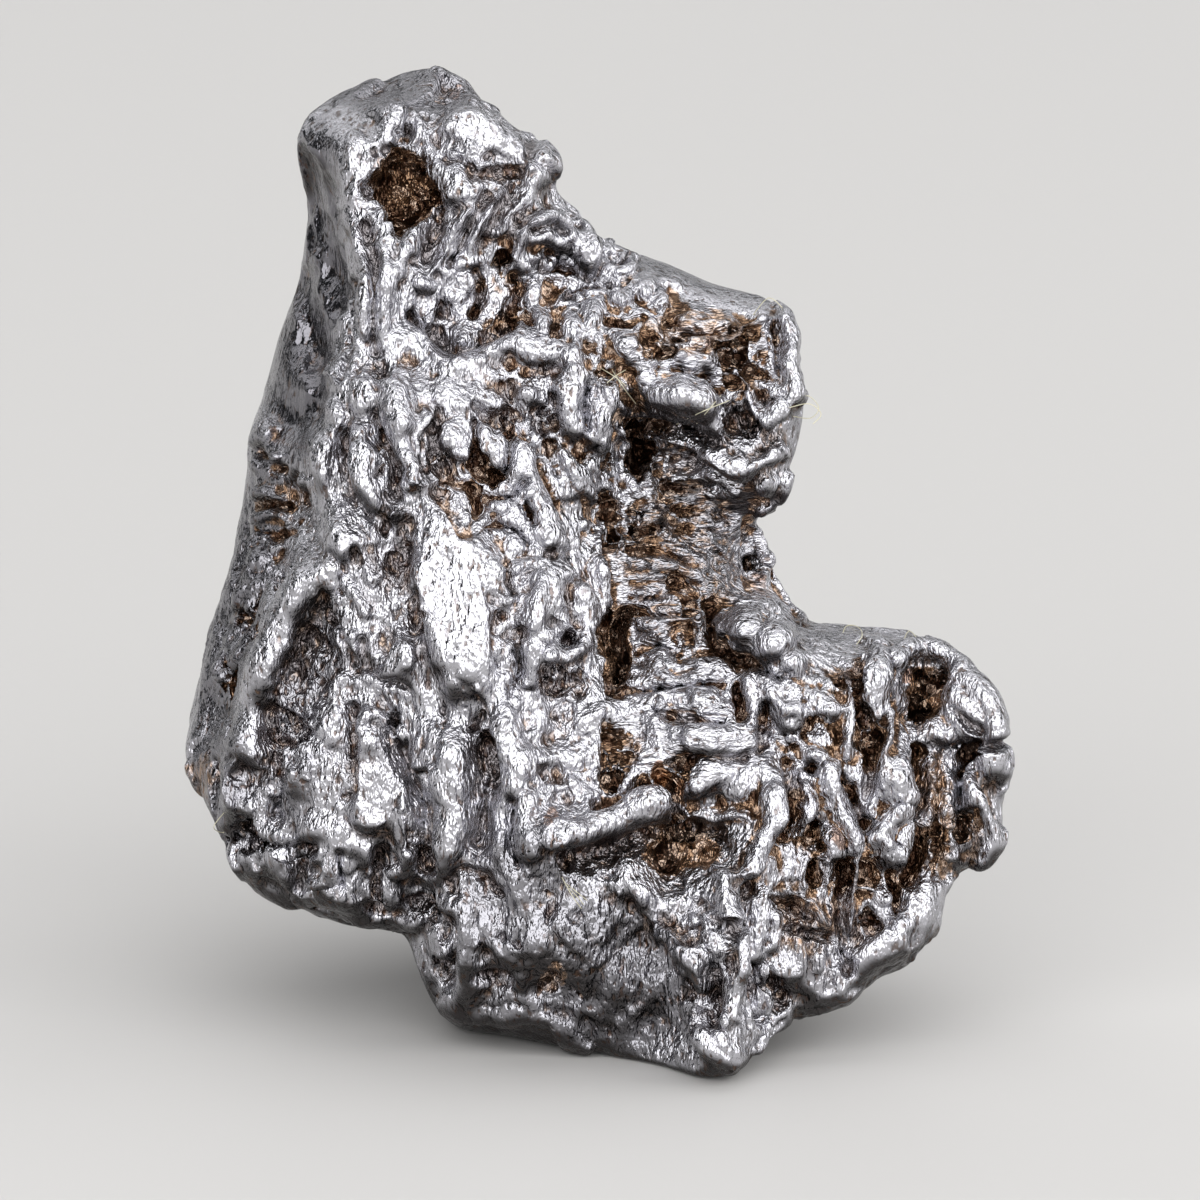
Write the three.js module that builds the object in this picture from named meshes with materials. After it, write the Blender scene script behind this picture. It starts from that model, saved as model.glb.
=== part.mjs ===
// An iron meteorite: one twisted lump of bare nickel-iron that stands on its lower edge.
import * as THREE from "three";
import { ImprovedNoise } from "three/addons/math/ImprovedNoise.js";
import { mergeVertices } from "three/addons/utils/BufferGeometryUtils.js";

// Driving dimensions, in millimetres and degrees.
// The side that shows most is drawn on a sheet: x to the right, v up it, w out of it to the viewer.
const SHEET_LEAN = 15;
const FOOT_FLAT = 0.3;
const FRONT_EDGE_ROUND = 1.5;
const BACK_EDGE_ROUND = 2.8;
const MIN_HALF_DEPTH = 0.5;
const SHEET_CENTRE = [-0.8, 10.9];

// How the stock ball is shared out and drawn onto the shape, the front taking the larger part.
const STOCK_DETAIL = 21;
const MERGE_TOLERANCE = 1e-5;
const FRONT_SHARE = 0.64;
const FRONT_FINENESS = 1.5;
const OUTLINE_STEPS = 260;
const STEPS_PER_PLACE = 3;
const BACK_OUTLINE_STEPS = 80;
const CHART_STEP = 0.1;
const CHART_MARGIN = 1.5;
const CHART_LAST_CELL = 1.001;
const EASE_PASSES = 9;
const EASE_ROUNDS = 45;
const EASE_STEP = 0.5;
const SHORTER_EDGE = 0.9;
const SETTLE_ROUNDS = 4;
const PROBE = 0.02;
const LONGEST_STEP = 0.6;
const EDGE_BLEND = 0.3;
const SOUNDING_BLEND = 0.35;

// The outline, clockwise from the top of the head: x, v and the depth w at which it turns away.
const OUTLINE = [
  [-4.2, 25.6, -3.2], [-3.0, 25.15, -2.6], [-2.5, 24.55, -1.6], [-2.0, 24.1, -1.2],
  [-1.0, 23.6, -0.8], [-0.7, 23.05, -0.4], [-1.0, 22.4, -1.2], [-0.5, 21.95, -1.8],
  [0.1, 21.35, -2.8], [1.0, 21.0, -3.4], [2.0, 20.6, -3.4], [3.0, 20.15, -3.0],
  [4.7, 19.6, -1.8], [5.05, 19.0, -1.2], [5.35, 17.4, -1.2], [5.3, 16.6, -1.2],
  [4.95, 15.4, -1.4], [4.85, 14.6, -1.6], [4.2, 14.2, -2.6], [4.15, 13.7, -3.6],
  [4.6, 12.8, -4.2], [5.35, 11.75, -4.4], [7.0, 11.5, -4.4], [8.55, 11.2, -3.4],
  [9.2, 10.65, -2.0], [10.0, 10.0, -1.2], [10.3, 9.2, -1.0], [10.45, 8.2, -1.0],
  [10.3, 7.2, -1.0], [10.4, 6.5, -0.8], [10.0, 5.75, -0.9], [9.6, 5.45, -1.2],
  [8.8, 5.2, -1.6], [8.65, 4.1, -1.4], [8.1, 3.05, -1.4], [7.0, 2.7, -1.0],
  [6.0, 1.8, -0.6], [5.0, 1.75, -0.4], [4.15, 0.95, 0.6], [3.75, 0.3, 1.4],
  [2.9, 0.0, 1.8], [1.9, 0.2, 0.7], [1.0, 0.5, -0.1], [0.2, 0.8, -0.7],
  [-1.0, 1.0, -1.2], [-2.1, 1.25, -1.8], [-3.5, 1.45, -2.9], [-4.2, 2.3, -3.0],
  [-4.4, 3.0, -2.8], [-4.6, 4.0, -2.8], [-5.7, 3.95, -3.2], [-7.3, 4.35, -3.6],
  [-8.4, 4.85, -3.6], [-9.15, 5.8, -3.4], [-9.1, 6.15, -3.6], [-9.7, 6.9, -4.4],
  [-10.2, 7.8, -5.6], [-10.4, 8.3, -6.0], [-10.1, 9.4, -6.2], [-9.7, 11.3, -6.2],
  [-9.2, 13.0, -6.2], [-8.8, 15.0, -6.0], [-8.65, 16.4, -5.8], [-8.2, 17.5, -5.6],
  [-7.9, 18.8, -5.2], [-7.4, 20.0, -4.8], [-7.2, 21.5, -4.0], [-7.15, 22.1, -3.6],
  [-7.3, 23.1, -2.6], [-7.6, 23.8, -2.0], [-7.3, 24.25, -2.0], [-6.9, 24.75, -2.6],
  [-6.0, 25.1, -3.2], [-5.0, 25.4, -3.4],
];

// The plainer outline that the lump has further back, inside the first one: x and v.
const BACK_OUTLINE = [
  [-4.3, 24.9], [-2.2, 23.3], [-1.2, 21.3], [1.5, 20.1], [4.3, 18.8], [4.7, 16.6], [3.8, 14.6],
  [3.9, 12.9], [5.5, 11.2], [8.2, 10.5], [9.7, 8.5], [9.1, 6.0], [7.8, 3.9], [5.2, 2.2], [1.3, 2.3],
  [-2.7, 1.8], [-4.5, 4.4], [-7.6, 5.1], [-9.5, 7.8], [-9.1, 11.6], [-8.2, 15.5], [-7.0, 19.6],
  [-6.8, 22.6], [-6.2, 24.3],
];

// How far the front stands out, sounded at points on the sheet: x, v, w.
const FRONT_SOUNDINGS = [
  // Head, with its top turned up and away.
  [-4.6, 25.1, -1.8], [-6.3, 24.6, -1.2], [-3.4, 24.8, -1.4], [-5.0, 24.3, 0.3], [-6.6, 23.9, -0.5],
  [-5.7, 23.2, 0.9], [-3.0, 24.0, 1.0], [-1.5, 23.3, 0.8], [-3.2, 22.6, 0.9], [-5.6, 21.6, 1.0],
  // Neck, a fluted hollow between a left post and a curled leaf on the right.
  [-5.4, 20.2, 1.2], [-3.8, 21.0, 0.5], [-2.4, 21.4, 0.4], [-2.5, 19.9, 0.1], [-1.2, 21.5, 0.4],
  [-0.6, 20.5, -0.4], [0.6, 20.4, -0.8], [-3.6, 19.3, 0.4], [-5.3, 19.0, 1.2],
  // Left side, falling away to the back.
  [-6.5, 22.0, -1.4], [-6.7, 20.2, -1.8], [-7.0, 18.6, -2.6], [-7.5, 16.6, -2.7], [-7.6, 14.8, -2.5],
  [-8.0, 13.2, -2.8], [-8.9, 11.2, -3.2], [-9.5, 9.2, -3.6], [-9.6, 7.8, -2.8],
  // Shoulder and trunk.
  [-5.8, 17.4, 1.6], [-6.5, 15.8, 1.6], [-5.6, 15.4, 2.1], [-4.6, 16.4, 2.2], [-3.4, 18.0, 1.4],
  [-2.2, 18.4, 1.0], [-3.0, 16.4, 1.9], [-1.8, 16.6, 1.4], [-4.2, 14.6, 2.7], [-2.4, 14.6, 1.9],
  [-3.3, 12.8, 2.9], [-3.2, 10.8, 2.9], [-4.3, 12.6, 3.1], [-4.1, 11.0, 3.0], [-5.5, 13.4, 1.9],
  [-5.5, 11.6, 1.8], [-1.6, 13.8, 1.8],
  // Left lobe.
  [-7.0, 12.6, 1.2], [-8.0, 10.8, 0.9], [-7.0, 10.2, 0.9], [-8.7, 8.4, 0.4], [-5.6, 9.4, 1.3],
  [-7.2, 8.0, 1.1], [-5.4, 7.6, 1.3], [-8.4, 6.6, -0.4], [-6.6, 5.9, 0.9], [-7.6, 4.9, -1.0],
  [-5.0, 4.8, 0.2],
  // Middle of the front and the lower edge.
  [-3.4, 8.4, 2.3], [-3.6, 6.2, 2.0], [-1.9, 8.0, 2.5], [-1.4, 5.8, 2.5], [-3.2, 3.8, 1.4],
  [-3.3, 2.3, 0.2], [-1.2, 3.9, 2.1], [-1.0, 1.8, 0.6], [0.5, 4.9, 2.4], [1.1, 3.2, 1.4],
  [1.5, 1.3, 0.5], [3.3, 3.4, 3.2], [3.3, 1.4, 3.0], [3.4, 5.2, 2.6], [4.7, 3.0, 1.5],
  // Middle right, with the deep groove and the plates in the notch.
  [-1.1, 12.2, 2.3], [-0.5, 10.9, 2.0], [0.7, 11.4, -0.6], [0.3, 13.0, 0.4], [-0.6, 15.0, 1.1],
  [0.4, 14.4, -0.4], [2.0, 12.6, -0.7], [2.0, 11.2, 0.3], [2.2, 10.2, 1.2], [-0.4, 9.2, 1.6],
  [3.2, 14.2, -1.5], [3.9, 13.0, -2.4], [4.3, 11.2, 1.2], [1.6, 14.6, -0.8], [0.6, 8.2, 1.6],
  // Upper right lobe.
  [-0.4, 18.4, 1.0], [-0.4, 16.8, 1.1], [1.0, 18.6, 1.0], [0.6, 19.8, 0.0], [2.3, 19.5, -0.3],
  [3.6, 19.2, -0.3], [4.7, 18.6, 0.3], [2.3, 17.3, 1.2], [3.6, 17.8, 0.1], [5.0, 17.2, 0.5],
  [3.7, 15.8, 0.6], [4.4, 15.0, -0.2], [1.2, 16.2, -0.8], [2.4, 15.5, -0.9],
  // Right lobe.
  [2.9, 8.8, 1.9], [1.5, 7.1, 2.2], [2.4, 6.2, 0.9], [4.5, 7.2, 2.0], [4.6, 9.8, 1.4],
  [5.5, 8.2, 1.1], [5.9, 9.8, 1.1], [7.1, 10.2, 0.9], [8.2, 10.0, -0.4], [8.8, 10.8, -0.4],
  [9.7, 9.6, 0.5], [10.0, 8.2, 0.4], [9.2, 8.0, -0.6], [7.4, 8.0, 1.1], [6.0, 6.4, 1.1],
  [8.6, 6.8, 0.3], [9.8, 6.6, 0.1], [7.2, 5.6, 0.9], [5.4, 5.0, 1.2], [7.8, 4.4, 0.6],
  [6.6, 3.4, 0.8], [5.2, 2.4, 0.9],
];

// How far the back stands out, sounded in the same way.
const BACK_SOUNDINGS = [
  // Head and neck.
  [-4.4, 24.0, -5.6], [-5.4, 21.4, -6.8], [-2.4, 21.6, -4.8], [-6.0, 18.4, -8.2], [-3.0, 18.0, -7.2],
  // Upper right lobe and trunk.
  [0.2, 18.6, -6.0], [3.2, 18.0, -4.8], [3.0, 15.0, -5.6], [0.0, 14.6, -7.6], [-4.0, 14.4, -8.8],
  [-7.4, 14.6, -8.6], [-8.4, 10.4, -9.0], [-5.4, 10.6, -9.8], [-1.6, 10.8, -9.6], [2.4, 10.8, -8.2],
  // Right and left lobes.
  [4.6, 10.4, -7.2], [7.4, 9.4, -6.2], [9.0, 7.4, -4.6], [6.4, 6.6, -7.0], [3.0, 7.2, -9.2],
  [-5.8, 7.2, -9.2], [-8.2, 7.2, -7.4], [-6.4, 5.2, -7.4],
  // Base, with the broad heel that it stands on.
  [-1.4, 7.4, -10.6], [-4.4, 5.0, -9.8], [-2.8, 3.6, -11.4], [-0.9, 3.5, -11.0], [1.0, 3.5, -11.6],
  [3.0, 4.2, -8.6], [5.0, 3.6, -6.6], [7.2, 4.4, -5.0], [2.6, 1.4, -2.4], [-1.6, 1.8, -6.4],
];

// Ridges, folds and rims on the front: half width, rise, and the path that the crest follows.
const RIDGES = {
  brow: { half: 0.5, rise: 0.35, path: [[-6.4, 24.0], [-5.2, 24.5], [-3.7, 24.6], [-2.2, 23.9]] },
  ear: { half: 0.4, rise: 0.4, path: [[-7.1, 24.3], [-7.1, 23.7], [-7.0, 23.1]] },
  cheek: { half: 0.45, rise: 0.5, path: [[-5.0, 24.2], [-5.4, 23.4], [-5.8, 22.4], [-5.4, 21.6]] },
  neckPost: { half: 0.5, rise: 0.4, path: [[-5.5, 21.6], [-5.4, 20.4], [-5.4, 19.1]] },
  cavityRib: { half: 0.4, rise: 0.4, path: [[-4.1, 22.2], [-4.5, 21.3], [-4.9, 20.5]] },
  upperFlute: { half: 0.4, rise: 0.35, path: [[-1.3, 22.8], [-2.3, 21.7], [-3.0, 21.0]] },
  lowerFlute: { half: 0.4, rise: 0.35, path: [[-3.0, 22.0], [-3.7, 21.0], [-4.1, 20.3]] },
  leafRim: { half: 0.4, rise: 0.7, path: [[-1.9, 20.6], [-1.5, 21.6], [-0.7, 21.6], [0.1, 20.7]] },
  shelf: { half: 0.4, rise: 0.5, path: [[-4.9, 18.9], [-3.4, 18.4], [-2.0, 18.8], [-1.1, 18.5]] },
  shoulderFold: { half: 0.5, rise: 0.5, path: [[-6.0, 18.6], [-6.5, 16.9], [-6.7, 15.2], [-6.1, 13.5]] },
  diagonalCrest: { half: 0.5, rise: 0.5, path: [[-5.1, 17.7], [-4.4, 15.9], [-3.3, 14.1], [-2.2, 12.4]] },
  lobeCrest: { half: 0.65, rise: 0.9, path: [[-6.7, 13.0], [-7.6, 12.0], [-8.3, 10.2], [-8.7, 8.4]] },
  tongue: { half: 0.6, rise: 0.5, path: [[-5.6, 9.2], [-5.5, 8.2], [-5.4, 6.9]] },
  bandRidge: { half: 0.55, rise: 0.45, path: [[-3.5, 8.4], [-3.5, 6.8], [-3.7, 5.4]] },
  middleRidge: { half: 0.5, rise: 0.5, path: [[-2.2, 9.6], [-2.0, 8.3], [-1.6, 7.1], [-1.4, 5.6]] },
  lobeLip: { half: 0.5, rise: 0.5, path: [[-8.1, 6.0], [-7.4, 5.2], [-6.2, 4.9], [-5.2, 4.6]] },
  columnRim: { half: 0.5, rise: 0.5, path: [[-3.3, 4.6], [-3.1, 3.5], [-3.0, 2.4]] },
  crestKnob: { half: 0.5, rise: 0.7, path: [[-1.0, 12.9], [-1.3, 11.9], [-1.4, 10.5]] },
  hook: { half: 0.35, rise: 0.5, path: [[-0.3, 12.4], [-0.15, 11.6], [-0.4, 10.9], [-0.95, 10.9]] },
  thinCrest: { half: 0.45, rise: 0.5, path: [[-1.8, 16.1], [-1.5, 15.1], [-0.9, 13.8]] },
  finger: { half: 0.6, rise: 1.0, path: [[-0.9, 6.35], [0.3, 6.75], [1.6, 7.15]] },
  capsule: { half: 0.45, rise: 0.8, path: [[3.35, 5.4], [3.45, 4.4]] },
  footRight: { half: 0.45, rise: 0.5, path: [[3.6, 4.0], [3.55, 3.0], [3.35, 2.0], [3.4, 0.9]] },
  footLeft: { half: 0.45, rise: 0.5, path: [[1.7, 4.2], [2.4, 3.6], [2.9, 3.0]] },
  stem: { half: 0.4, rise: 0.5, path: [[4.5, 7.1], [4.25, 6.2], [3.85, 5.5]] },
  lowerRim: { half: 0.5, rise: 0.5, path: [[8.6, 5.2], [7.9, 4.1], [7.1, 3.5], [6.4, 3.0]] },
  topCurl: { half: 0.4, rise: 0.9, path: [[7.5, 10.6], [8.2, 10.95], [8.9, 10.6]] },
  sideCurl: { half: 0.5, rise: 0.7, path: [[9.1, 10.2], [9.8, 9.7], [10.0, 9.0], [9.95, 8.0]] },
  sideBlade: { half: 0.4, rise: 0.6, path: [[9.5, 7.6], [9.75, 6.8], [9.8, 6.0]] },
  foldedBar: { half: 0.5, rise: 0.5, path: [[7.2, 8.6], [7.6, 7.5], [8.0, 6.3]] },
  post: { half: 0.4, rise: 0.5, path: [[5.8, 8.4], [5.85, 7.4], [6.4, 6.6], [6.7, 6.0]] },
  fistRim: { half: 0.45, rise: 0.6, path: [[4.7, 19.3], [4.85, 18.6], [5.0, 17.6], [5.0, 16.8]] },
  fistTop: { half: 0.4, rise: 0.4, path: [[1.0, 20.4], [2.4, 20.0], [3.6, 19.6], [4.5, 19.4]] },
  fistArm: { half: 0.4, rise: 0.5, path: [[3.9, 19.0], [3.1, 18.6], [2.3, 18.4]] },
  fistLip: { half: 0.4, rise: 0.6, path: [[2.9, 16.1], [3.7, 15.7], [4.6, 16.1]] },
  knuckle: { half: 0.4, rise: 0.5, path: [[-0.5, 18.3], [-0.4, 17.4], [-0.5, 16.5]] },
  strut: { half: 0.4, rise: 0.5, path: [[0.4, 17.5], [0.2, 16.2]] },
  plateUpper: { half: 0.4, rise: 0.6, path: [[1.2, 13.1], [2.4, 13.0], [3.4, 13.2]] },
  plateMiddle: { half: 0.35, rise: 0.5, path: [[1.0, 11.8], [2.0, 11.7], [3.0, 11.7]] },
  plateLower: { half: 0.4, rise: 0.5, path: [[1.0, 10.7], [2.2, 10.6], [3.2, 10.4]] },
};

// Grooves and creases on the front: half width, depth and path.
const GROOVES = {
  lobeValley: { half: 0.5, depth: 0.6, path: [[-5.0, 14.2], [-4.9, 12.5], [-4.3, 11.2], [-3.9, 9.7]] },
  crestGroove: { half: 0.4, depth: 0.4, path: [[-4.0, 15.9], [-3.3, 14.7], [-2.5, 13.4]] },
  tongueValley: { half: 0.4, depth: 0.6, path: [[-4.7, 8.7], [-4.3, 7.0], [-4.1, 5.4]] },
  bandValley: { half: 0.4, depth: 0.5, path: [[-2.7, 8.6], [-2.7, 7.0], [-2.6, 5.8]] },
  deepGroove: { half: 0.45, depth: 1.2, path: [[0.6, 12.3], [0.75, 11.3], [0.85, 10.3]] },
  lobeNotch: { half: 0.4, depth: 0.8, path: [[-9.2, 6.3], [-8.4, 6.35], [-7.6, 6.1]] },
  fingerShade: { half: 0.4, depth: 0.6, path: [[-0.3, 5.9], [0.8, 6.1], [1.6, 6.3]] },
  barCrack: { half: 0.35, depth: 0.6, path: [[8.2, 8.4], [8.1, 7.0], [7.9, 5.4]] },
  foldCrack: { half: 0.35, depth: 0.5, path: [[6.3, 5.4], [6.3, 4.2], [6.3, 3.0]] },
  shelfCrease: { half: 0.4, depth: 0.5, path: [[-4.6, 19.3], [-3.3, 18.9], [-2.1, 19.3]] },
};

// Lumps, and hollows with a negative rise: centre, half sizes, turn and rise.
const LUMPS = {
  headBulge: { at: [-2.8, 24.0], size: [1.0, 0.6], turn: -20, rise: 0.6 },
  headKnob: { at: [-1.15, 23.3], size: [0.6, 0.5], turn: 0, rise: 0.6 },
  headLower: { at: [-3.2, 22.5], size: [0.7, 0.5], turn: 20, rise: 0.4 },
  headCavity: { at: [-4.7, 22.6], size: [0.95, 1.3], turn: 10, rise: -2.4 },
  diamond: { at: [-5.6, 17.3], size: [0.5, 0.8], turn: 10, rise: 0.5 },
  shoulderLump: { at: [-5.6, 15.5], size: [0.5, 1.1], turn: 0, rise: 0.5 },
  leafFacet: { at: [-3.4, 12.1], size: [1.3, 2.8], turn: 12, rise: 0.35 },
  lobePanel: { at: [-7.3, 9.9], size: [0.7, 1.3], turn: -15, rise: -0.6 },
  centreNotch: { at: [-2.95, 9.2], size: [0.5, 0.45], turn: 35, rise: -1.1 },
  cornerPit: { at: [-4.2, 4.6], size: [0.5, 0.5], turn: 0, rise: -1.0 },
  fingerEnd: { at: [1.6, 7.15], size: [0.65, 0.6], turn: 0, rise: 0.6 },
  cavityUnderFinger: { at: [2.5, 6.3], size: [0.9, 0.7], turn: 0, rise: -1.3 },
  knob: { at: [4.55, 7.3], size: [0.55, 0.65], turn: 0, rise: 0.8 },
  plateau: { at: [2.9, 8.9], size: [1.2, 0.5], turn: 0, rise: 0.5 },
  lowPlateau: { at: [3.0, 7.9], size: [0.8, 0.45], turn: 5, rise: 0.45 },
  cornerLump: { at: [4.3, 11.2], size: [1.2, 0.7], turn: -30, rise: 0.9 },
  wartLeft: { at: [4.6, 10.0], size: [0.45, 0.55], turn: 15, rise: 0.5 },
  wartMiddle: { at: [5.9, 9.8], size: [0.6, 0.45], turn: 0, rise: 0.5 },
  wartRight: { at: [7.1, 10.2], size: [0.5, 0.6], turn: 0, rise: 0.5 },
  curlCavity: { at: [8.3, 9.9], size: [0.6, 1.0], turn: -20, rise: -1.3 },
  bladeCavity: { at: [9.25, 8.2], size: [0.4, 0.7], turn: 0, rise: -1.0 },
  fistDome: { at: [1.0, 18.6], size: [0.8, 0.55], turn: -15, rise: 0.6 },
  thumb: { at: [2.4, 17.25], size: [0.95, 0.55], turn: -15, rise: 0.8 },
  fistHollow: { at: [3.7, 16.9], size: [0.8, 0.5], turn: 0, rise: -0.7 },
  fistUpperHollow: { at: [3.4, 18.1], size: [0.7, 0.4], turn: 0, rise: -0.5 },
  lobule: { at: [4.4, 15.0], size: [0.5, 0.6], turn: 0, rise: 0.5 },
  blackHole: { at: [1.2, 16.1], size: [0.6, 1.0], turn: -8, rise: -1.2 },
  notchHollow: { at: [0.45, 14.5], size: [0.6, 0.9], turn: 15, rise: -0.8 },
  leafHollow: { at: [-0.8, 20.7], size: [0.9, 0.5], turn: -20, rise: -0.7 },
  footPit: { at: [2.8, 2.1], size: [0.45, 0.7], turn: -15, rise: -0.5 },
};

// The back is dented all over by shallow thumbprints, and the sides are a little uneven.
const THUMBPRINT_SEED = 7;
const THUMBPRINT_COUNT = 46;
const THUMBPRINT_RADIUS = [1.0, 2.2];
const THUMBPRINT_DEPTH = [0.35, 0.85];
const THUMBPRINT_STRETCH = [0.6, 1];
const SIDE_UNEVENNESS = { length: 2.1, depth: 0.8, fade: 3.0 };

const METAL_COLOUR = 0xa9a6a8;
const METAL_ROUGHNESS = 0.32;

// A smooth bump, one at its middle and nought from one outwards.
function bump(t) {
  return t < 1 ? (1 - t * t) ** 2 : 0;
}

function between([low, high], share) {
  return low + (high - low) * share;
}

// The points of a curve drawn through places on the sheet, with the box that they lie in.
function drawnPath(places) {
  const curve = new THREE.SplineCurve(places.map(([x, v]) => new THREE.Vector2(x, v)));
  const points = curve.getPoints(places.length * STEPS_PER_PLACE);
  return { points, box: new THREE.Box2().setFromPoints(points) };
}

// How far along a stretch, from nought to one, the place nearest to x, v lies.
function shareAlong(x, v, from, to) {
  const alongX = to.x - from.x;
  const alongV = to.y - from.y;
  const share = ((x - from.x) * alongX + (v - from.y) * alongV) / (alongX * alongX + alongV * alongV);
  return Math.min(1, Math.max(0, share));
}

function squareFrom(x, v, from, to, share) {
  const dx = x - from.x - share * (to.x - from.x);
  const dv = v - from.y - share * (to.y - from.y);
  return dx * dx + dv * dv;
}

function distanceToPath({ points, box }, x, v, reach) {
  const sideways = Math.max(box.min.x - x, x - box.max.x);
  const upright = Math.max(box.min.y - v, v - box.max.y);
  if (Math.max(sideways, upright) > reach) return reach;
  let nearest = reach * reach;
  for (let i = 1; i < points.length; i += 1) {
    const share = shareAlong(x, v, points[i - 1], points[i]);
    nearest = Math.min(nearest, squareFrom(x, v, points[i - 1], points[i], share));
  }
  return Math.sqrt(nearest);
}

const strokes = [
  ...Object.values(RIDGES).map(({ half, rise, path }) => ({ half, rise, path: drawnPath(path) })),
  ...Object.values(GROOVES).map(({ half, depth, path }) => ({ half, rise: -depth, path: drawnPath(path) })),
];

const lumps = Object.values(LUMPS).map(({ at, size, turn, rise }) => {
  const angle = THREE.MathUtils.degToRad(turn);
  return { at, size, rise, cos: Math.cos(angle), sin: Math.sin(angle) };
});

function lumpHeight({ at, size, rise, cos, sin }, x, v) {
  const dx = x - at[0];
  const dv = v - at[1];
  return rise * bump(Math.hypot((dx * cos + dv * sin) / size[0], (dv * cos - dx * sin) / size[1]));
}

// A closed curve through places on the sheet, as evenly spaced points.
function closedOutline(places, steps) {
  const corners = places.map(([x, v, w = 0]) => new THREE.Vector3(x, v, w));
  return new THREE.CatmullRomCurve3(corners, true, "centripetal").getSpacedPoints(steps).slice(0, steps);
}

const outline = closedOutline(OUTLINE, OUTLINE_STEPS);
const backOutline = closedOutline(BACK_OUTLINE, BACK_OUTLINE_STEPS);

// How far a place is inside an outline, less than nought outside it, and the outline's depth near it.
function edgeNear(points, x, v) {
  let nearest = Infinity;
  let crossings = 0;
  let depths = 0;
  let weights = 0;
  for (let i = 0; i < points.length; i += 1) {
    const from = points[i];
    const to = points[(i + 1) % points.length];
    const share = shareAlong(x, v, from, to);
    const square = squareFrom(x, v, from, to, share);
    const closeness = 1 / (square + EDGE_BLEND);
    const weight = closeness * closeness * closeness;
    nearest = Math.min(nearest, square);
    depths += weight * (from.z + share * (to.z - from.z));
    weights += weight;
    const spans = (from.y > v) !== (to.y > v);
    if (spans && x < from.x + (v - from.y) / (to.y - from.y) * (to.x - from.x)) crossings += 1;
  }
  const reach = Math.sqrt(nearest);
  return { reach: crossings % 2 === 1 ? reach : -reach, depth: depths / weights };
}

// A surface drawn smoothly through soundings.
function sounded(soundings, x, v) {
  let depths = 0;
  let weights = 0;
  for (const [atX, atV, depth] of soundings) {
    const dx = x - atX;
    const dv = v - atV;
    const closeness = 1 / (dx * dx + dv * dv + SOUNDING_BLEND);
    const weight = closeness * closeness;
    depths += weight * depth;
    weights += weight;
  }
  return depths / weights;
}

function frontDepth(x, v) {
  let depth = sounded(FRONT_SOUNDINGS, x, v);
  for (const { half, rise, path } of strokes) depth += rise * bump(distanceToPath(path, x, v, half) / half);
  for (const lump of lumps) depth += lumpHeight(lump, x, v);
  return depth;
}

// Thumbprints lie at random inside the outline's box.
THREE.MathUtils.seededRandom(THUMBPRINT_SEED);
const outlineBox = new THREE.Box3().setFromPoints(outline);
const thumbprints = Array.from({ length: THUMBPRINT_COUNT }, () => {
  const x = between([outlineBox.min.x, outlineBox.max.x], THREE.MathUtils.seededRandom());
  const v = between([outlineBox.min.y, outlineBox.max.y], THREE.MathUtils.seededRandom());
  const radius = between(THUMBPRINT_RADIUS, THREE.MathUtils.seededRandom());
  const stretch = between(THUMBPRINT_STRETCH, THREE.MathUtils.seededRandom());
  const angle = Math.PI * THREE.MathUtils.seededRandom();
  const rise = between(THUMBPRINT_DEPTH, THREE.MathUtils.seededRandom());
  return { at: [x, v], size: [radius, radius * stretch], rise, cos: Math.cos(angle), sin: Math.sin(angle) };
});

function backDepth(x, v) {
  let depth = sounded(BACK_SOUNDINGS, x, v);
  for (const thumbprint of thumbprints) depth += lumpHeight(thumbprint, x, v);
  return depth;
}

// Charts a measure on a fine grid over the sheet, once, and reads it between the grid's points.
function chart(measure) {
  const low = [outlineBox.min.x - CHART_MARGIN, outlineBox.min.y - CHART_MARGIN];
  const columns = Math.ceil((outlineBox.max.x + CHART_MARGIN - low[0]) / CHART_STEP) + 1;
  const rows = Math.ceil((outlineBox.max.y + CHART_MARGIN - low[1]) / CHART_STEP) + 1;
  const values = new Float64Array(columns * rows);
  for (let row = 0; row < rows; row += 1) {
    for (let column = 0; column < columns; column += 1) {
      values[row * columns + column] = measure(low[0] + column * CHART_STEP, low[1] + row * CHART_STEP);
    }
  }
  return (x, v) => {
    const across = Math.min(columns - CHART_LAST_CELL, Math.max(0, (x - low[0]) / CHART_STEP));
    const up = Math.min(rows - CHART_LAST_CELL, Math.max(0, (v - low[1]) / CHART_STEP));
    const corner = Math.floor(up) * columns + Math.floor(across);
    const right = across % 1;
    const below = values[corner] + right * (values[corner + 1] - values[corner]);
    const upper = corner + columns;
    const above = values[upper] + right * (values[upper + 1] - values[upper]);
    return below + (up % 1) * (above - below);
  };
}

const frontAt = chart(frontDepth);
const backAt = chart(backDepth);
const edgeDepthAt = chart((x, v) => edgeNear(outline, x, v).depth);
const reachAt = chart((x, v) => edgeNear(outline, x, v).reach);
const backReachAt = chart((x, v) => edgeNear(backOutline, x, v).reach);
const noise = new ImprovedNoise();

// Less than nought inside the lump and more outside: front and back meet in a rounded edge.
function skin(x, v, w) {
  const depth = edgeDepthAt(x, v);
  const beyond = w - depth;
  if (beyond >= 0) {
    const halfDepth = Math.max(MIN_HALF_DEPTH, frontAt(x, v) - depth);
    return Math.hypot(Math.max(0, 1 - reachAt(x, v) / FRONT_EDGE_ROUND), beyond / halfDepth) - 1;
  }
  const { length, depth: unevenDepth, fade } = SIDE_UNEVENNESS;
  const backShare = THREE.MathUtils.smoothstep(-beyond, 0, fade);
  const swell = noise.noise(x / length, v / length, w / length) * unevenDepth * backShare;
  const reach = THREE.MathUtils.lerp(reachAt(x, v), backReachAt(x, v), backShare) + swell;
  const halfDepth = Math.max(MIN_HALF_DEPTH, depth - backAt(x, v)) + swell;
  return Math.hypot(Math.max(0, 1 - reach / BACK_EDGE_ROUND), beyond / halfDepth) - 1;
}

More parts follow.
